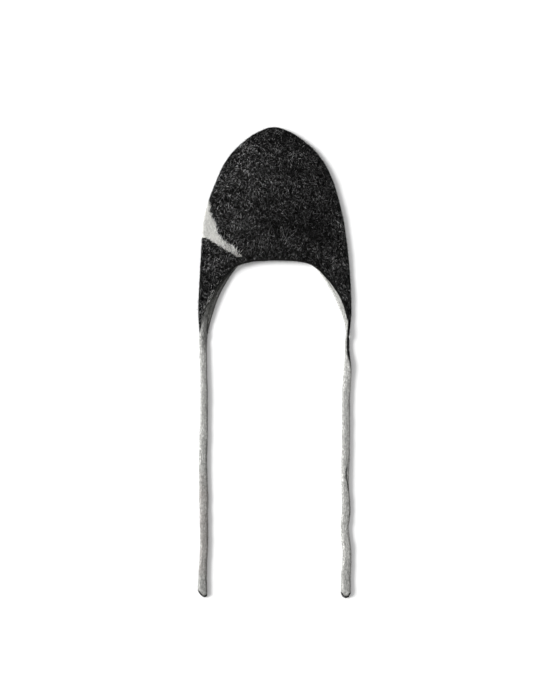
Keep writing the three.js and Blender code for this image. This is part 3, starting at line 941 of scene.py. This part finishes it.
# %% Where hairs grow
def scatter(points, triangles, count, rng, keep):
    """Random places on a surface, even by area: a triangle picked in proportion to its area times
    keep, then a random point in it. Returns places, unit normals and the triangles' numbers."""
    corner = points[triangles]
    cross = np.cross(corner[:, 1] - corner[:, 0], corner[:, 2] - corner[:, 0])
    area = np.linalg.norm(cross, axis=1)
    weight = area * keep(corner.mean(axis=1), cross / np.maximum(area, 1e-18)[:, None])
    chosen = rng.choice(len(triangles), count, p=weight / weight.sum())
    a, b = rng.random((2, count))
    over = a + b > 1
    a, b = np.where(over, 1 - a, a), np.where(over, 1 - b, b)
    first = corner[chosen, 0]
    place = (first + a[:, None] * (corner[chosen, 1] - first)
             + b[:, None] * (corner[chosen, 2] - first))
    return place, unit(cross[chosen]), chosen


def faces_up(centre, normal):
    """Hairs grow where the cap can be seen: not on the flat underside."""
    return np.where((normal[:, 2] > -0.25) & (centre[:, 2] > 0.0012), 1.0, 0.0)


# %% The shape of a hair
HAIR_SINK = 0.0003
STRAIGHT = np.array([(0, 2, 1), (0, 1, 3), (1, 2, 3), (2, 0, 3)])
BENT = np.array([
    (0, 2, 1),
    (0, 1, 4), (0, 4, 3), (1, 2, 5), (1, 5, 4), (2, 0, 3), (2, 3, 5),
    (3, 4, 6), (4, 5, 6), (5, 3, 6),
])
# painted light: a hair's tip is paler than the rest of it
TIP_PAINTED_LIGHT = 1.15
KNEE = 0.55  # where a bent hair bends, as a share of its length


def make_hairs(name, slot, shape, place, normal, heading, length, thickness, lift, bend, colour,
               root_painted_shade=0.5):
    """Needles: a triangle of the given thickness lies a little under the surface at the root. A
    bent hair has a second one at its knee, raised by the lift. The tip lies at the end
    of the heading, raised less, and sideways by the bend. A hair is darker at its root, by the
    root shade, which may be one number or one per hair: painted shade where the hairs cover each
    other's roots. Its tip is a little paler: painted light."""
    heading = unit(heading - (heading * normal).sum(1, keepdims=True) * normal)
    beside = np.cross(heading, normal)
    length, lift, bend = length[:, None], lift[:, None], bend[:, None]
    root = place - normal * HAIR_SINK
    knee = place + heading * length * KNEE + normal * length * lift + beside * length * bend * 0.3
    tip = place + heading * length + normal * length * lift * 0.7 + beside * length * bend
    turn = np.radians([90, 210, 330])
    spread = (np.cos(turn)[None, :, None] * normal[:, None, :]
              + np.sin(turn)[None, :, None] * beside[:, None, :]) * (thickness / 2)[:, None, None]
    # Painted shade at the root and a little at the knee, where the hairs cover each other, and painted
    # light at the tip.
    at_root = root_painted_shade + np.zeros((len(place), 3))
    at_tip = np.full((len(place), 1), TIP_PAINTED_LIGHT)
    stations, shades = [root[:, None, :] + spread, tip[:, None, :]], [at_root, at_tip]
    if shape is BENT:
        stations.insert(1, knee[:, None, :] + spread * 0.85)
        shades.insert(1, at_root**0.3)
    points, shades = np.concatenate(stations, axis=1), np.concatenate(shades, axis=1)
    per_hair = points.shape[1]
    points[..., 2] = np.maximum(points[..., 2], 0.0001 + 0.00005 * np.arange(per_hair)[None, :])
    triangles = shape[None] + per_hair * np.arange(len(place))[:, None, None]
    hair_colour = np.clip(colour[:, None, :] * shades[..., None], 0, 0.9)
    return make_piece(name, points.reshape(-1, 3), triangles.reshape(-1, 3), slot,
                      hair_colour=hair_colour.reshape(-1, 3))


def brushed_heading(place, rng, spread):
    """Mostly up or down the cap, turned by a random angle and by a slow swirl, in radians."""
    count = len(place)
    swirl = 0.6 * unevenness(place, 0.05, 8)
    turn = np.pi / 2 + rng.normal(0, spread, count) + swirl + np.pi * (rng.random(count) < 0.35)
    return np.stack([np.cos(turn), -np.sin(turn), rng.normal(0, 0.2, count)], 1)


def brushed_up(count, rng):
    """Up the cap and a little to the left."""
    return np.stack([rng.normal(-0.25, 0.5, count), np.ones(count), np.zeros(count)], 1)


def grey_spread(middle, spread, low, high, count, rng):
    """Random greys around a middle value, spread evenly in ratio, as columns red, green, blue."""
    shade = np.clip(middle * np.exp(rng.normal(0, spread, count)), low, high)
    return np.repeat(shade[:, None], 3, axis=1)


# %% [markdown]
# ## The nap and the mohair of the crown
# What makes this cap look charcoal and not black is its nap: near-black fibres beside dark grey
# ones. Neighbouring fibres cling together in little locks, so their shade changes from lock to lock
# as well as from fibre to fibre. Over the nap lie the lighter mohairs, a few of them nearly white.
# Over the cream patch the hairs are cream, with some dark ones strayed in, and the longest brush
# out over the charcoal above the patch's narrow end.

# %% Hairs of both halves
CREAM = np.array([0.90, 0.895, 0.86])
STRAYED_IN = 0.04
STRAYED_INTO_ARM = 0.30
# root shade of the cream hairs: less painted shade at their roots than the charcoal ones get
CREAM_ROOT = 0.9
PAINTED_LIGHT_PLACES = (
    # x and y of the middle and reach in millimetres, and how much paler: painted light where positive,
    # painted shade where negative
    (-48, 104, 46, 0.45),
    (48, 8, 40, -0.60),
)
# painted light on the left side of the crown, which faces the light
PAINTED_LIGHT_LEFT = 0.32
LOCK_LENGTH = 0.0029


def locks(place, seed):
    """Small locks of hair: two unevennesses added, one of them longer down the cap than across."""
    narrow = place * np.array([1.0, 0.45, 1.0])
    slow, quick = unevenness(narrow, LOCK_LENGTH, seed), unevenness(place, LOCK_LENGTH, seed + 1)
    return (slow + 0.7 * quick) / 1.22


def painted_light_and_shade(place):
    """How much paler the hairs are than usual, as a power of e: painted light at the upper left, and
    painted shade at the lower right, each a Gaussian of the distance to its middle. The left side,
    which faces the light, gets a little painted light too."""
    x, y = place[:, 0] / METRES, place[:, 1] / METRES
    paler = sum(amount * np.exp(-((x - at_x) ** 2 + (y - at_y) ** 2) / reach**2)
                for at_x, at_y, reach, amount in PAINTED_LIGHT_PLACES)
    return paler + PAINTED_LIGHT_LEFT * soft_step(-x, -15, 60)


def colour_over_patch(place, colour, shade, greyed, rng):
    """The given colours and root shades, but cream over the patch, with less painted shade at the
    roots, except for some dark hairs that have strayed in, mostly into the patch's narrow arm. There
    the cream is streaked with grey too, by the share greyed."""
    x, y = place[:, 0] / METRES, place[:, 1] / METRES
    ragged = (1.2 + 1.4 * soft_step(x, -90, -72)) * unevenness(place, 0.0050, 12)
    cream = in_patch(x + ragged, y) > 0
    cream &= rng.random(len(place)) > STRAYED_IN + STRAYED_INTO_ARM * soft_step(x, -92, -70)
    in_arm = soft_step(x, -96, -74)
    streaked = greyed * soft_step(unevenness(place, 0.0042, 13), 0.0, 0.6) * in_arm
    tint = rng.uniform(0.60, 1.12, len(place)) ** (1 + 1.6 * greyed * in_arm)
    colour[cream] = CREAM * (tint * (1 - streaked))[cream, None]
    shade[cream] = CREAM_ROOT
    return cream


def more_on_patch(centre, normal):
    """The cream yarn is the hairier one: four times as many mohairs grow there."""
    on_patch = in_patch(centre[:, 0] / METRES, centre[:, 1] / METRES)
    return faces_up(centre, normal) * (1 + 3 * on_patch)


def nap_drift(place):
    """How the nap's shade changes from lock to lock and over the cap, as a factor, with painted light
    and shade.
    """
    return np.exp(locks(place, 6) + 0.18 * unevenness(place, 0.035, 7) + painted_light_and_shade(place))


def mohair_drift(place):
    """How the mohairs' shade changes over the cap, as a factor, with painted light and shade."""
    return np.exp(0.25 * unevenness(place, 0.030, 9) + 0.30 * unevenness(place, 0.009, 10) + painted_light_and_shade(place))


# The two kinds of hair. Pairs are from and to, in metres for length and thickness. grey is the
# middle, spread, lowest and highest shade, upright is what an upright surface takes off the
# length, and the cream values are how much longer and thicker the cream hairs are.
# root is how much of a hair's colour is left at its root, as painted shade.
NAP = dict(
    count=42000, shape=STRAIGHT, keep=faces_up, drift=nap_drift, grey=(0.0080, 1.15, 0.0006, 0.36),
    root=0.5, greyed=0.65, length=(0.0022, 0.0046), upright=0.55, thickness=(0.00040, 0.00075),
    lift=(0.05, 0.24), bend=0.2, swirl=0.7, cream_length=1, cream_thickness=1)
MOHAIR = dict(
    count=6000, shape=BENT, keep=more_on_patch, drift=mohair_drift, grey=(0.12, 0.80, 0.03, 0.7),
    root=0.45, greyed=0.15, length=(0.0028, 0.0066), upright=0.6, thickness=(0.00028, 0.00052),
    lift=(0.05, 0.20), bend=0.25, swirl=0.9, cream_length=1.25, cream_thickness=1.7)


def crown_hairs(name, points, triangles, seed, kind):
    """Hairs of one kind all over one half. They lie flatter and shorter where the surface turns
    upright, and brush up the cap where they are cream."""
    rng = np.random.default_rng(seed)
    count = kind["count"]
    place, normal, _ = scatter(points, triangles, count, rng, kind["keep"])
    colour = grey_spread(*kind["grey"], count, rng) * kind["drift"](place)[:, None]
    shade = np.full((count, 1), kind["root"])
    cream = colour_over_patch(place, colour, shade, kind["greyed"], rng)
    upright = np.clip(1 - np.abs(normal[:, 2]), 0, 1)
    length = rng.uniform(*kind["length"], count) * (1 - kind["upright"] * upright)
    thickness = rng.uniform(*kind["thickness"], count)
    lift = rng.uniform(*kind["lift"], count) * (1 - 0.6 * upright)
    bend = rng.normal(0, kind["bend"], count)
    heading = np.where(cream[:, None], brushed_up(count, rng), brushed_heading(place, rng, kind["swirl"]))
    thickness = np.where(cream, thickness * kind["cream_thickness"], thickness)
    length = np.where(cream, length * kind["cream_length"], length)
    return make_hairs(name, "charcoal_knit", kind["shape"], place, normal, heading,
                      length, thickness, lift, bend, colour, shade)


left_nap = crown_hairs("nap_left", left_points, left_outside, 201, NAP)
right_nap = crown_hairs("nap_right", right_points, right_outside, 202, NAP)
left_mohair = crown_hairs("mohair_left", left_points, left_outside, 101, MOHAIR)
right_mohair = crown_hairs("mohair_right", right_points, right_outside, 102, MOHAIR)

# %% [markdown]
# ## The fuzz of the ties and the edges, and the nap inside
# The ties and the rolled edges aren't brushed, but wool is never bald: short fibres stand off them,
# and being heathered yarn it has light and dark ones side by side. Each takes its colour from the
# strap or the edge under its root. The strip of the inside that shows in each flap has short
# fibres too, as light as its tone, painted shade of the left flap included.

# %% Fuzz
TIE_FUZZ = 5500
EDGE_FUZZ = 4200
INNER_FIBRES = 1400
DARK_FIBRE, LIGHT_FIBRE, LIGHT_INNER_FIBRE = 0.012, 0.34, 0.62
FIBRE_TINT = np.array([1.0, 1.0, 0.965])
INNER_TINT = np.array([1.0, 1.0, 0.96])


def make_fuzz(name, slot, points, triangles, lightness, count, seed, strays=0.0):
    """Short straight fibres on a strap or an edge. The lightness, from 0 for charcoal to 1 for
    light grey, is read at the corners of the triangle under each root. In the left flap a share of
    them, the strays, are longer, thicker and light anyway: they come through from the inside."""
    rng = np.random.default_rng(seed)
    place, normal, chosen = scatter(points, triangles, count, rng, faces_up)
    light = lightness[triangles[chosen]].mean(axis=1)
    stray = rng.random(count) < strays * soft_step(-place[:, 0] / METRES, 78, 90)
    middle = DARK_FIBRE * (LIGHT_FIBRE / DARK_FIBRE) ** light
    shade = np.clip(middle * np.exp(rng.normal(0, 0.75 - 0.40 * light)), 0.002, 0.80)
    shade = np.where(stray, rng.uniform(0.35, 0.85, count), shade)
    aslant = np.where(stray, -0.35, 0)
    heading = np.stack([rng.normal(aslant, 0.35), -np.ones(count), rng.normal(0, 0.2, count)], 1)
    heading *= np.where(rng.random(count) < 0.4, -1, 1)[:, None]
    length = rng.uniform(0.0018, 0.0045, count) * np.where(stray, 1.6, 1)
    thickness = rng.uniform(0.00022, 0.00042, count) * np.where(stray, 2, 1)
    lift = rng.uniform(0.03, 0.14, count)
    return make_hairs(name, slot, STRAIGHT, place, normal, heading, length, thickness, lift,
                      rng.normal(0, 0.2, count), shade[:, None] * FIBRE_TINT)


def inner_nap(name, half, count, seed):
    """Short fibres on the inside of the back layer, where the flap shows it: on a grid of its inner
    skin, facing up, from 6 mm inside the end of the front to the end of the back."""
    rng = np.random.default_rng(seed)
    rows, columns = 120, 92
    inner = half_skins(half, rows, columns)[1] * METRES
    corner = (np.arange(rows)[:, None] * (columns + 1) + np.arange(columns)[None, :]).ravel()
    right, under = corner + 1, corner + columns + 1
    triangles = np.concatenate([np.stack([corner, right, under + 1], 1),
                                np.stack([corner, under + 1, under], 1)])
    if half == "left":
        triangles = triangles[:, ::-1]
    points = inner.reshape(-1, 3)

    def in_strip(centre, normal):
        x, y = centre[:, 0] / METRES, -centre[:, 1] / METRES
        side = np.sqrt(half_width_squared[half](APEX_Y + y))
        front = front_end[half](np.clip(np.abs(x) / side, 0, 1)) - APEX_Y
        return ((normal[:, 2] > 0.5) & (y > front - 6) & (y > 40)).astype(float)

    place, normal, _ = scatter(points, triangles, count, rng, in_strip)
    # the tone brings the painted shade of the left flap into these fibres
    tone = inner_tone(place[:, 0] / METRES, place[:, 1] / METRES)
    stray = rng.random(count) < 0.10 * (1 - tone)
    middle = DARK_FIBRE * (LIGHT_INNER_FIBRE / DARK_FIBRE) ** tone
    shade = middle * np.exp(rng.normal(0, 0.6 - 0.4 * tone))
    shade = np.clip(np.where(stray, rng.uniform(0.2, 0.5, count), shade), 0.002, 0.8)
    heading = np.stack([rng.normal(0, 0.5, count), -np.ones(count), rng.normal(0, 0.2, count)], 1)
    return make_hairs(name, "charcoal_knit", STRAIGHT, place, normal, heading,
                      rng.uniform(0.002, 0.0045, count), rng.uniform(0.0003, 0.0006, count),
                      rng.uniform(0.05, 0.2, count), rng.normal(0, 0.2, count),
                      shade[:, None] * INNER_TINT)


left_inner = inner_nap("inner_nap_left", "left", INNER_FIBRES, 305)
right_inner = inner_nap("inner_nap_right", "right", INNER_FIBRES, 306)
left_fuzz = make_fuzz("tie_fuzz_left", "grey_knit", left_tie_rings.reshape(-1, 3),
                      rings_to_mesh(left_tie_rings), 1 - left_dark.ravel(), TIE_FUZZ, 301)
right_fuzz = make_fuzz("tie_fuzz_right", "grey_knit", right_tie_rings.reshape(-1, 3),
                       rings_to_mesh(right_tie_rings), 1 - right_dark.ravel(), TIE_FUZZ, 302)
face_fuzz = make_fuzz("edge_fuzz_face", "charcoal_edge", face_points, face_triangles, face_tone,
                      EDGE_FUZZ, 303, strays=0.22)
nape_fuzz = make_fuzz("edge_fuzz_nape", "charcoal_edge", nape_points, nape_triangles, 1.15 * nape_tone,
                      EDGE_FUZZ, 304, strays=0.04)

# %% [markdown]
# ## Materials: a small toolbox
# Each material is a graph of nodes. Writing a graph as nested calls keeps it readable, so these
# helpers add the nodes and return what comes out of them. The last one, cover, makes the surface
# matt and puts the material on its pieces.


# %% Node helpers
class Graph:
    """The node graph of one material, with a call for each kind of node used here."""

    def __init__(self, name):
        self.material = bpy.data.materials.new(name)
        self.material.use_nodes = True
        self.tree = self.material.node_tree
        self.shader = self.tree.nodes["Principled BSDF"]

    def node(self, kind, **settings):
        made = self.tree.nodes.new(kind)
        for key, value in settings.items():
            setattr(made, key, value)
        return made

    def plug(self, value, socket):
        if isinstance(value, bpy.types.NodeSocket):
            self.tree.links.new(value, socket)
        else:
            socket.default_value = value

    def math(self, operation, *values):
        made = self.node("ShaderNodeMath", operation=operation)
        for value, socket in zip(values, made.inputs):
            self.plug(value, socket)
        return made.outputs[0]

    def scaled(self, vector, factors):
        made = self.node("ShaderNodeMapping")
        self.plug(vector, made.inputs["Vector"])
        made.inputs["Scale"].default_value = factors
        return made.outputs[0]

    def noise(self, vector, scale, detail=2.0, roughness=0.5):
        made = self.node("ShaderNodeTexNoise")
        self.plug(vector, made.inputs["Vector"])
        made.inputs["Scale"].default_value = scale
        made.inputs["Detail"].default_value = detail
        made.inputs["Roughness"].default_value = roughness
        return made.outputs[0]

    def ramp(self, value, low, high, to_low=0.0, to_high=1.0):
        made = self.node("ShaderNodeMapRange", interpolation_type="SMOOTHSTEP")
        for number, key in ((value, "Value"), (low, "From Min"), (high, "From Max"),
                            (to_low, "To Min"), (to_high, "To Max")):
            self.plug(number, made.inputs[key])
        return made.outputs[0]

    def mix(self, share, first, second):
        made = self.node("ShaderNodeMix", data_type="RGBA")
        self.plug(share, made.inputs[0])
        self.plug(first, made.inputs[6])
        self.plug(second, made.inputs[7])
        return made.outputs[2]

    def attribute(self, name, output="Fac"):
        return self.node("ShaderNodeAttribute", attribute_name=name).outputs[output]

    def curve(self, value, rows, low, high, bottom, top):
        """Straight lines through rows of (input, output), which are scaled to 0..1 and back."""
        made = self.node("ShaderNodeFloatCurve")
        points = made.mapping.curves[0].points
        scaled = [((x - low) / (high - low), (y - bottom) / (top - bottom)) for x, y in rows]
        for x, y in scaled[1:-1]:
            points.new(x, y)
        points[0].location, points[-1].location = scaled[0], scaled[-1]
        for point in points:
            point.handle_type = "VECTOR"
        made.mapping.update()
        self.plug(self.math("DIVIDE", self.math("SUBTRACT", value, low), high - low),
                  made.inputs["Value"])
        return self.math("ADD", self.math("MULTIPLY", made.outputs[0], top - bottom), bottom)

    def bump(self, height, strength, distance):
        made = self.node("ShaderNodeBump")
        made.inputs["Strength"].default_value = strength
        made.inputs["Distance"].default_value = distance
        self.plug(height, made.inputs["Height"])
        self.tree.links.new(made.outputs[0], self.shader.inputs["Normal"])

    def split(self, vector):
        made = self.node("ShaderNodeSeparateXYZ")
        self.plug(vector, made.inputs[0])
        return made.outputs

    def knit_uv(self):
        """The UV in metres, and its two directions, across the stitches and along them."""
        uv = self.node("ShaderNodeUVMap", uv_map="knit").outputs[0]
        parts = self.split(uv)
        return uv, parts[0], parts[1]

    def cover(self, pieces, roughness):
        """Makes the surface matt and without gloss, and puts the material on the pieces."""
        self.shader.inputs["Roughness"].default_value = roughness
        self.shader.inputs["Specular IOR Level"].default_value = 0.0
        for piece in pieces:
            piece.data.materials.append(self.material)


def colour(red, green, blue):
    """A colour as the shader takes it, in linear light."""
    return (red, green, blue, 1.0)


def grey(value):
    return colour(value, value, value)


def stitch_height(graph, across, along):
    """The V-shaped stitches as nodes, by the same formula as the ties' relief."""
    column = graph.math("DIVIDE", across, STITCH_WIDTH)
    offset = graph.math("SUBTRACT", graph.math("FRACT", column), 0.5)
    s = graph.math("MULTIPLY", graph.math("ABSOLUTE", offset), 2.0)
    bow = graph.math("POWER", graph.math("SUBTRACT", graph.math("MULTIPLY", s, 2.0), 1.0), 2.0)
    leg = graph.math("SQRT", graph.math("MAXIMUM", graph.math("SUBTRACT", 1.0, bow), 0.0))
    phase = graph.math("SUBTRACT", graph.math("DIVIDE", along, STITCH_HEIGHT),
                       graph.math("MULTIPLY", s, STITCH_SLANT))
    wave = graph.math("COSINE", graph.math("MULTIPLY", phase, 2 * np.pi))
    swing = (1 - STITCH_VALLEY) / 2
    yarn = graph.math("MULTIPLY_ADD", wave, swing, STITCH_VALLEY + swing)
    return graph.math("MULTIPLY", leg, yarn)


# %% [markdown]
# ## The charcoal knit
# Under the nap the outside is near-black yarn, mottled from stitch to stitch. The inside is grey,
# as light as its tone says, which paints shade into the left flap. Both faces come from one
# material that mixes by the inside number, and the cream patch is decided stitch by stitch.

# %% Charcoal knit material
knit = Graph("charcoal_knit")
knit_uv, uv_across, uv_along = knit.knit_uv()
knit_place = knit.node("ShaderNodeTexCoord").outputs["Object"]
place_parts = knit.split(knit_place)
wobble = knit.math("MULTIPLY", knit.math("SUBTRACT", knit.noise(knit_place, 160.0), 0.5), 0.0016)
across = knit.math("ADD", uv_across, wobble)
along = knit.math("ADD", uv_along, wobble)
stitches = stitch_height(knit, across, along)
streaks = knit.noise(knit.scaled(knit_uv, (700, 330, 1)), 1.0, 3.0, 0.65)
drifts = knit.noise(knit_place, 55.0, 3.0, 0.6)
print("charcoal knit has", len(knit.tree.nodes), "nodes so far")


# %% Patch border, stitch by stitch
def to_stitch_middle(graph, value, size):
    """How far the middle of its own stitch lies from a place, along one direction."""
    whole = graph.math("ADD", graph.math("FLOOR", graph.math("DIVIDE", value, size)), 0.5)
    return graph.math("SUBTRACT", graph.math("MULTIPLY", whole, size), value)


shift_across = to_stitch_middle(knit, across, STITCH_WIDTH)
shift_along = to_stitch_middle(knit, along, STITCH_HEIGHT)
stitch_x = knit.math("MULTIPLY", knit.math("SUBTRACT", place_parts[0], shift_across), 1000.0)
stitch_y = knit.math("MULTIPLY", knit.math("SUBTRACT", place_parts[1], shift_along), 1000.0)
right_line = knit.curve(stitch_y, PATCH_RIGHT, PATCH_RIGHT[0, 0], PATCH_RIGHT[-1, 0], -120.0, 0.0)
left_line = knit.curve(stitch_y, PATCH_LEFT, PATCH_LEFT[0, 0], PATCH_LEFT[-1, 0], -120.0, 0.0)
in_right = knit.math("LESS_THAN", stitch_x, right_line)
in_left = knit.math("GREATER_THAN", stitch_x, left_line)
above = knit.math("GREATER_THAN", stitch_y, PATCH_LEFT[0, 0])
below = knit.math("LESS_THAN", stitch_y, PATCH_TOP)
in_lines = knit.math("MULTIPLY", in_right, in_left)
patch = knit.math("MULTIPLY", in_lines, knit.math("MULTIPLY", above, below))

# %% Colours of the knit
INSIDE_GREYS = (colour(0.47, 0.47, 0.445), colour(0.82, 0.82, 0.79))
yarn_shade = knit.ramp(streaks, 0.32, 0.68)
charcoal = knit.mix(yarn_shade, grey(0.0006), grey(0.0040))
charcoal = knit.mix(knit.ramp(drifts, 0.42, 0.75, 0.0, 0.4), charcoal, grey(0.007))
cream = knit.mix(yarn_shade, colour(0.52, 0.515, 0.485), colour(0.74, 0.735, 0.70))
# painted shade: the dark olive of the inside in the left flap, where the front layer shades it
painted_shade_olive = knit.mix(yarn_shade, colour(0.008, 0.008, 0.007), colour(0.050, 0.049, 0.043))
light = knit.mix(yarn_shade, *INSIDE_GREYS)
inner_grey = knit.mix(knit.attribute("tone"), painted_shade_olive, light)
outside_colour = knit.mix(patch, charcoal, cream)
inside_share = knit.attribute("inside")
knit_colour = knit.mix(knit.ramp(inside_share, 0.80, 0.95), outside_colour, inner_grey)
knit.plug(knit_colour, knit.shader.inputs["Base Color"])
fuzz = knit.noise(knit.scaled(knit_uv, (1500, 700, 1)), 1.0, 2.0, 0.6)
knit_height = knit.math("ADD", knit.math("MULTIPLY", stitches, 0.55), knit.math("MULTIPLY", fuzz, 0.8))
knit.bump(knit_height, 0.8, 0.0009)
knit.cover((left_half, right_half), 0.95)
print("charcoal knit:", len(knit.tree.nodes), "nodes")

# %% [markdown]
# ## The rolled edge
# The edge is the same charcoal yarn, but tightly knitted and not brushed, so it is smoother and
# shows fine ribs along it. Its tone takes it to the grey of the inside in the flaps, with the
# painted shade of the left flap.

# %% Edge material
edge = Graph("charcoal_edge")
edge_uv, edge_across, edge_along = edge.knit_uv()
edge_heather = edge.ramp(edge.noise(edge.scaled(edge_uv, (700, 420, 1)), 1.0, 3.0, 0.6), 0.32, 0.68)
edge_dark = edge.mix(edge_heather, colour(0.003, 0.003, 0.003), colour(0.020, 0.020, 0.019))
edge_light = edge.mix(edge_heather, *INSIDE_GREYS)
edge_colour = edge.mix(edge.attribute("tone"), edge_dark, edge_light)
edge.plug(edge_colour, edge.shader.inputs["Base Color"])
edge.bump(stitch_height(edge, edge_across, edge_along), 0.6, 0.0005)
edge.cover((face_edge, nape_edge), 0.9)

# %% [markdown]
# ## The grey knit of the ties
# Heathered yarn is spun from light and dark wool, so it is speckled and streaked along its length.
# The material mixes two greys with a fine noise, lays longer streaks and clouds over them, adds a
# brownish cast where the warmth says so, and turns to charcoal where the dark number does.

# %% Tie material
strap = Graph("grey_knit")
strap_uv, strap_across, strap_along = strap.knit_uv()
strap_place = strap.node("ShaderNodeTexCoord").outputs["Object"]
heather = strap.ramp(strap.noise(strap.scaled(strap_uv, (620, 260, 1)), 1.0, 3.0, 0.65), 0.30, 0.70)
streaks = strap.noise(strap.scaled(strap_uv, (430, 85, 1)), 1.0, 2.0, 0.55)
clouds = strap.noise(strap_place, 70.0, 3.0, 0.6)
light_yarn = strap.mix(heather, colour(0.33, 0.33, 0.315), colour(0.92, 0.92, 0.89))
light_yarn = strap.mix(strap.ramp(streaks, 0.40, 0.66, 0.0, 0.60), light_yarn, colour(0.25, 0.25, 0.24))
light_yarn = strap.mix(strap.ramp(clouds, 0.42, 0.66, 0.0, 0.40), light_yarn, colour(0.38, 0.38, 0.363))
warm_share = strap.math("MULTIPLY", strap.attribute("warmth"), 0.42)
light_yarn = strap.mix(warm_share, light_yarn, colour(0.41, 0.348, 0.328))
# the paleness carries painted light along the ties' left-hand edges
lacking = strap.math("SUBTRACT", 1.0, strap.attribute("paleness"))
light_yarn = strap.mix(lacking, light_yarn, grey(0.0))
dark_yarn = strap.mix(heather, grey(0.004), grey(0.028))
strap_colour = strap.mix(strap.attribute("dark"), light_yarn, dark_yarn)
strap.plug(strap_colour, strap.shader.inputs["Base Color"])
strap_stitches = stitch_height(strap, strap_across, strap_along)
strap_height = strap.math("ADD", strap.math("MULTIPLY", strap_stitches, 0.3),
                          strap.math("MULTIPLY", heather, 0.7))
strap.bump(strap_height, 0.8, 0.0005)
strap.cover((left_tie, right_tie), 0.92)

# %% [markdown]
# ## The hairs' colour
# Every hair brings its own colour with it, so the material only has to pass it on.

# %% Hair material
hair = Graph("mohair")
hair.plug(hair.attribute("hair_colour", "Color"), hair.shader.inputs["Base Color"])
hair.cover((left_nap, right_nap, left_mohair, right_mohair, left_inner, right_inner,
            left_fuzz, right_fuzz, face_fuzz, nape_fuzz), 0.85)

# %% [markdown]
# Each half is one cut of double-faced knit. Each tie is a limp cord that leaves the cap where the
# flap ends.

# %% [markdown]
# ## Table and light
# The cap lies on a white table. One large soft light from the upper left of the picture draws
# the soft shadow at the right of every part, and an even white surrounding fills it in. The
# picture's own tones are kept as they are, without a film look.

# %% Table
TABLE_HALF = 4.0
TABLE_HEIGHT = -0.0003  # just under the cap, so that the two don't share a plane
table_mesh = bpy.data.meshes.new("table")
corners = [(-1, -1), (1, -1), (1, 1), (-1, 1)]
table_mesh.from_pydata([(x * TABLE_HALF, y * TABLE_HALF, TABLE_HEIGHT) for x, y in corners],
                       [], [(0, 1, 2, 3)])
table_top = bpy.data.objects.new("table", table_mesh)
bpy.context.collection.objects.link(table_top)
paper = Graph("white_table")
paper.shader.inputs["Base Color"].default_value = grey(0.90)
paper.cover((table_top,), 0.9)

# %% Lights
WORLD_STRENGTH = 0.62
SUN_ENERGY = 3.9
SUN_ANGLE = 28
LIGHT_HEADING = (0.84, -0.17, -0.61)

world = bpy.data.worlds.new("studio")
world.use_nodes = True
world.node_tree.nodes["Background"].inputs["Color"].default_value = grey(1.0)
world.node_tree.nodes["Background"].inputs["Strength"].default_value = WORLD_STRENGTH
bpy.context.scene.world = world
sun_data = bpy.data.lights.new("window_light", "SUN")
sun_data.energy = SUN_ENERGY
sun_data.angle = np.radians(SUN_ANGLE)
sun = bpy.data.objects.new("window_light", sun_data)
sun.rotation_mode = "QUATERNION"
sun.rotation_quaternion = Vector(LIGHT_HEADING).to_track_quat("-Z", "Y")
bpy.context.collection.objects.link(sun)
bpy.context.scene.view_settings.view_transform = "Standard"

# %% Count of triangles
print("triangles:", sum(len(piece.data.polygons) for piece in new_pieces))
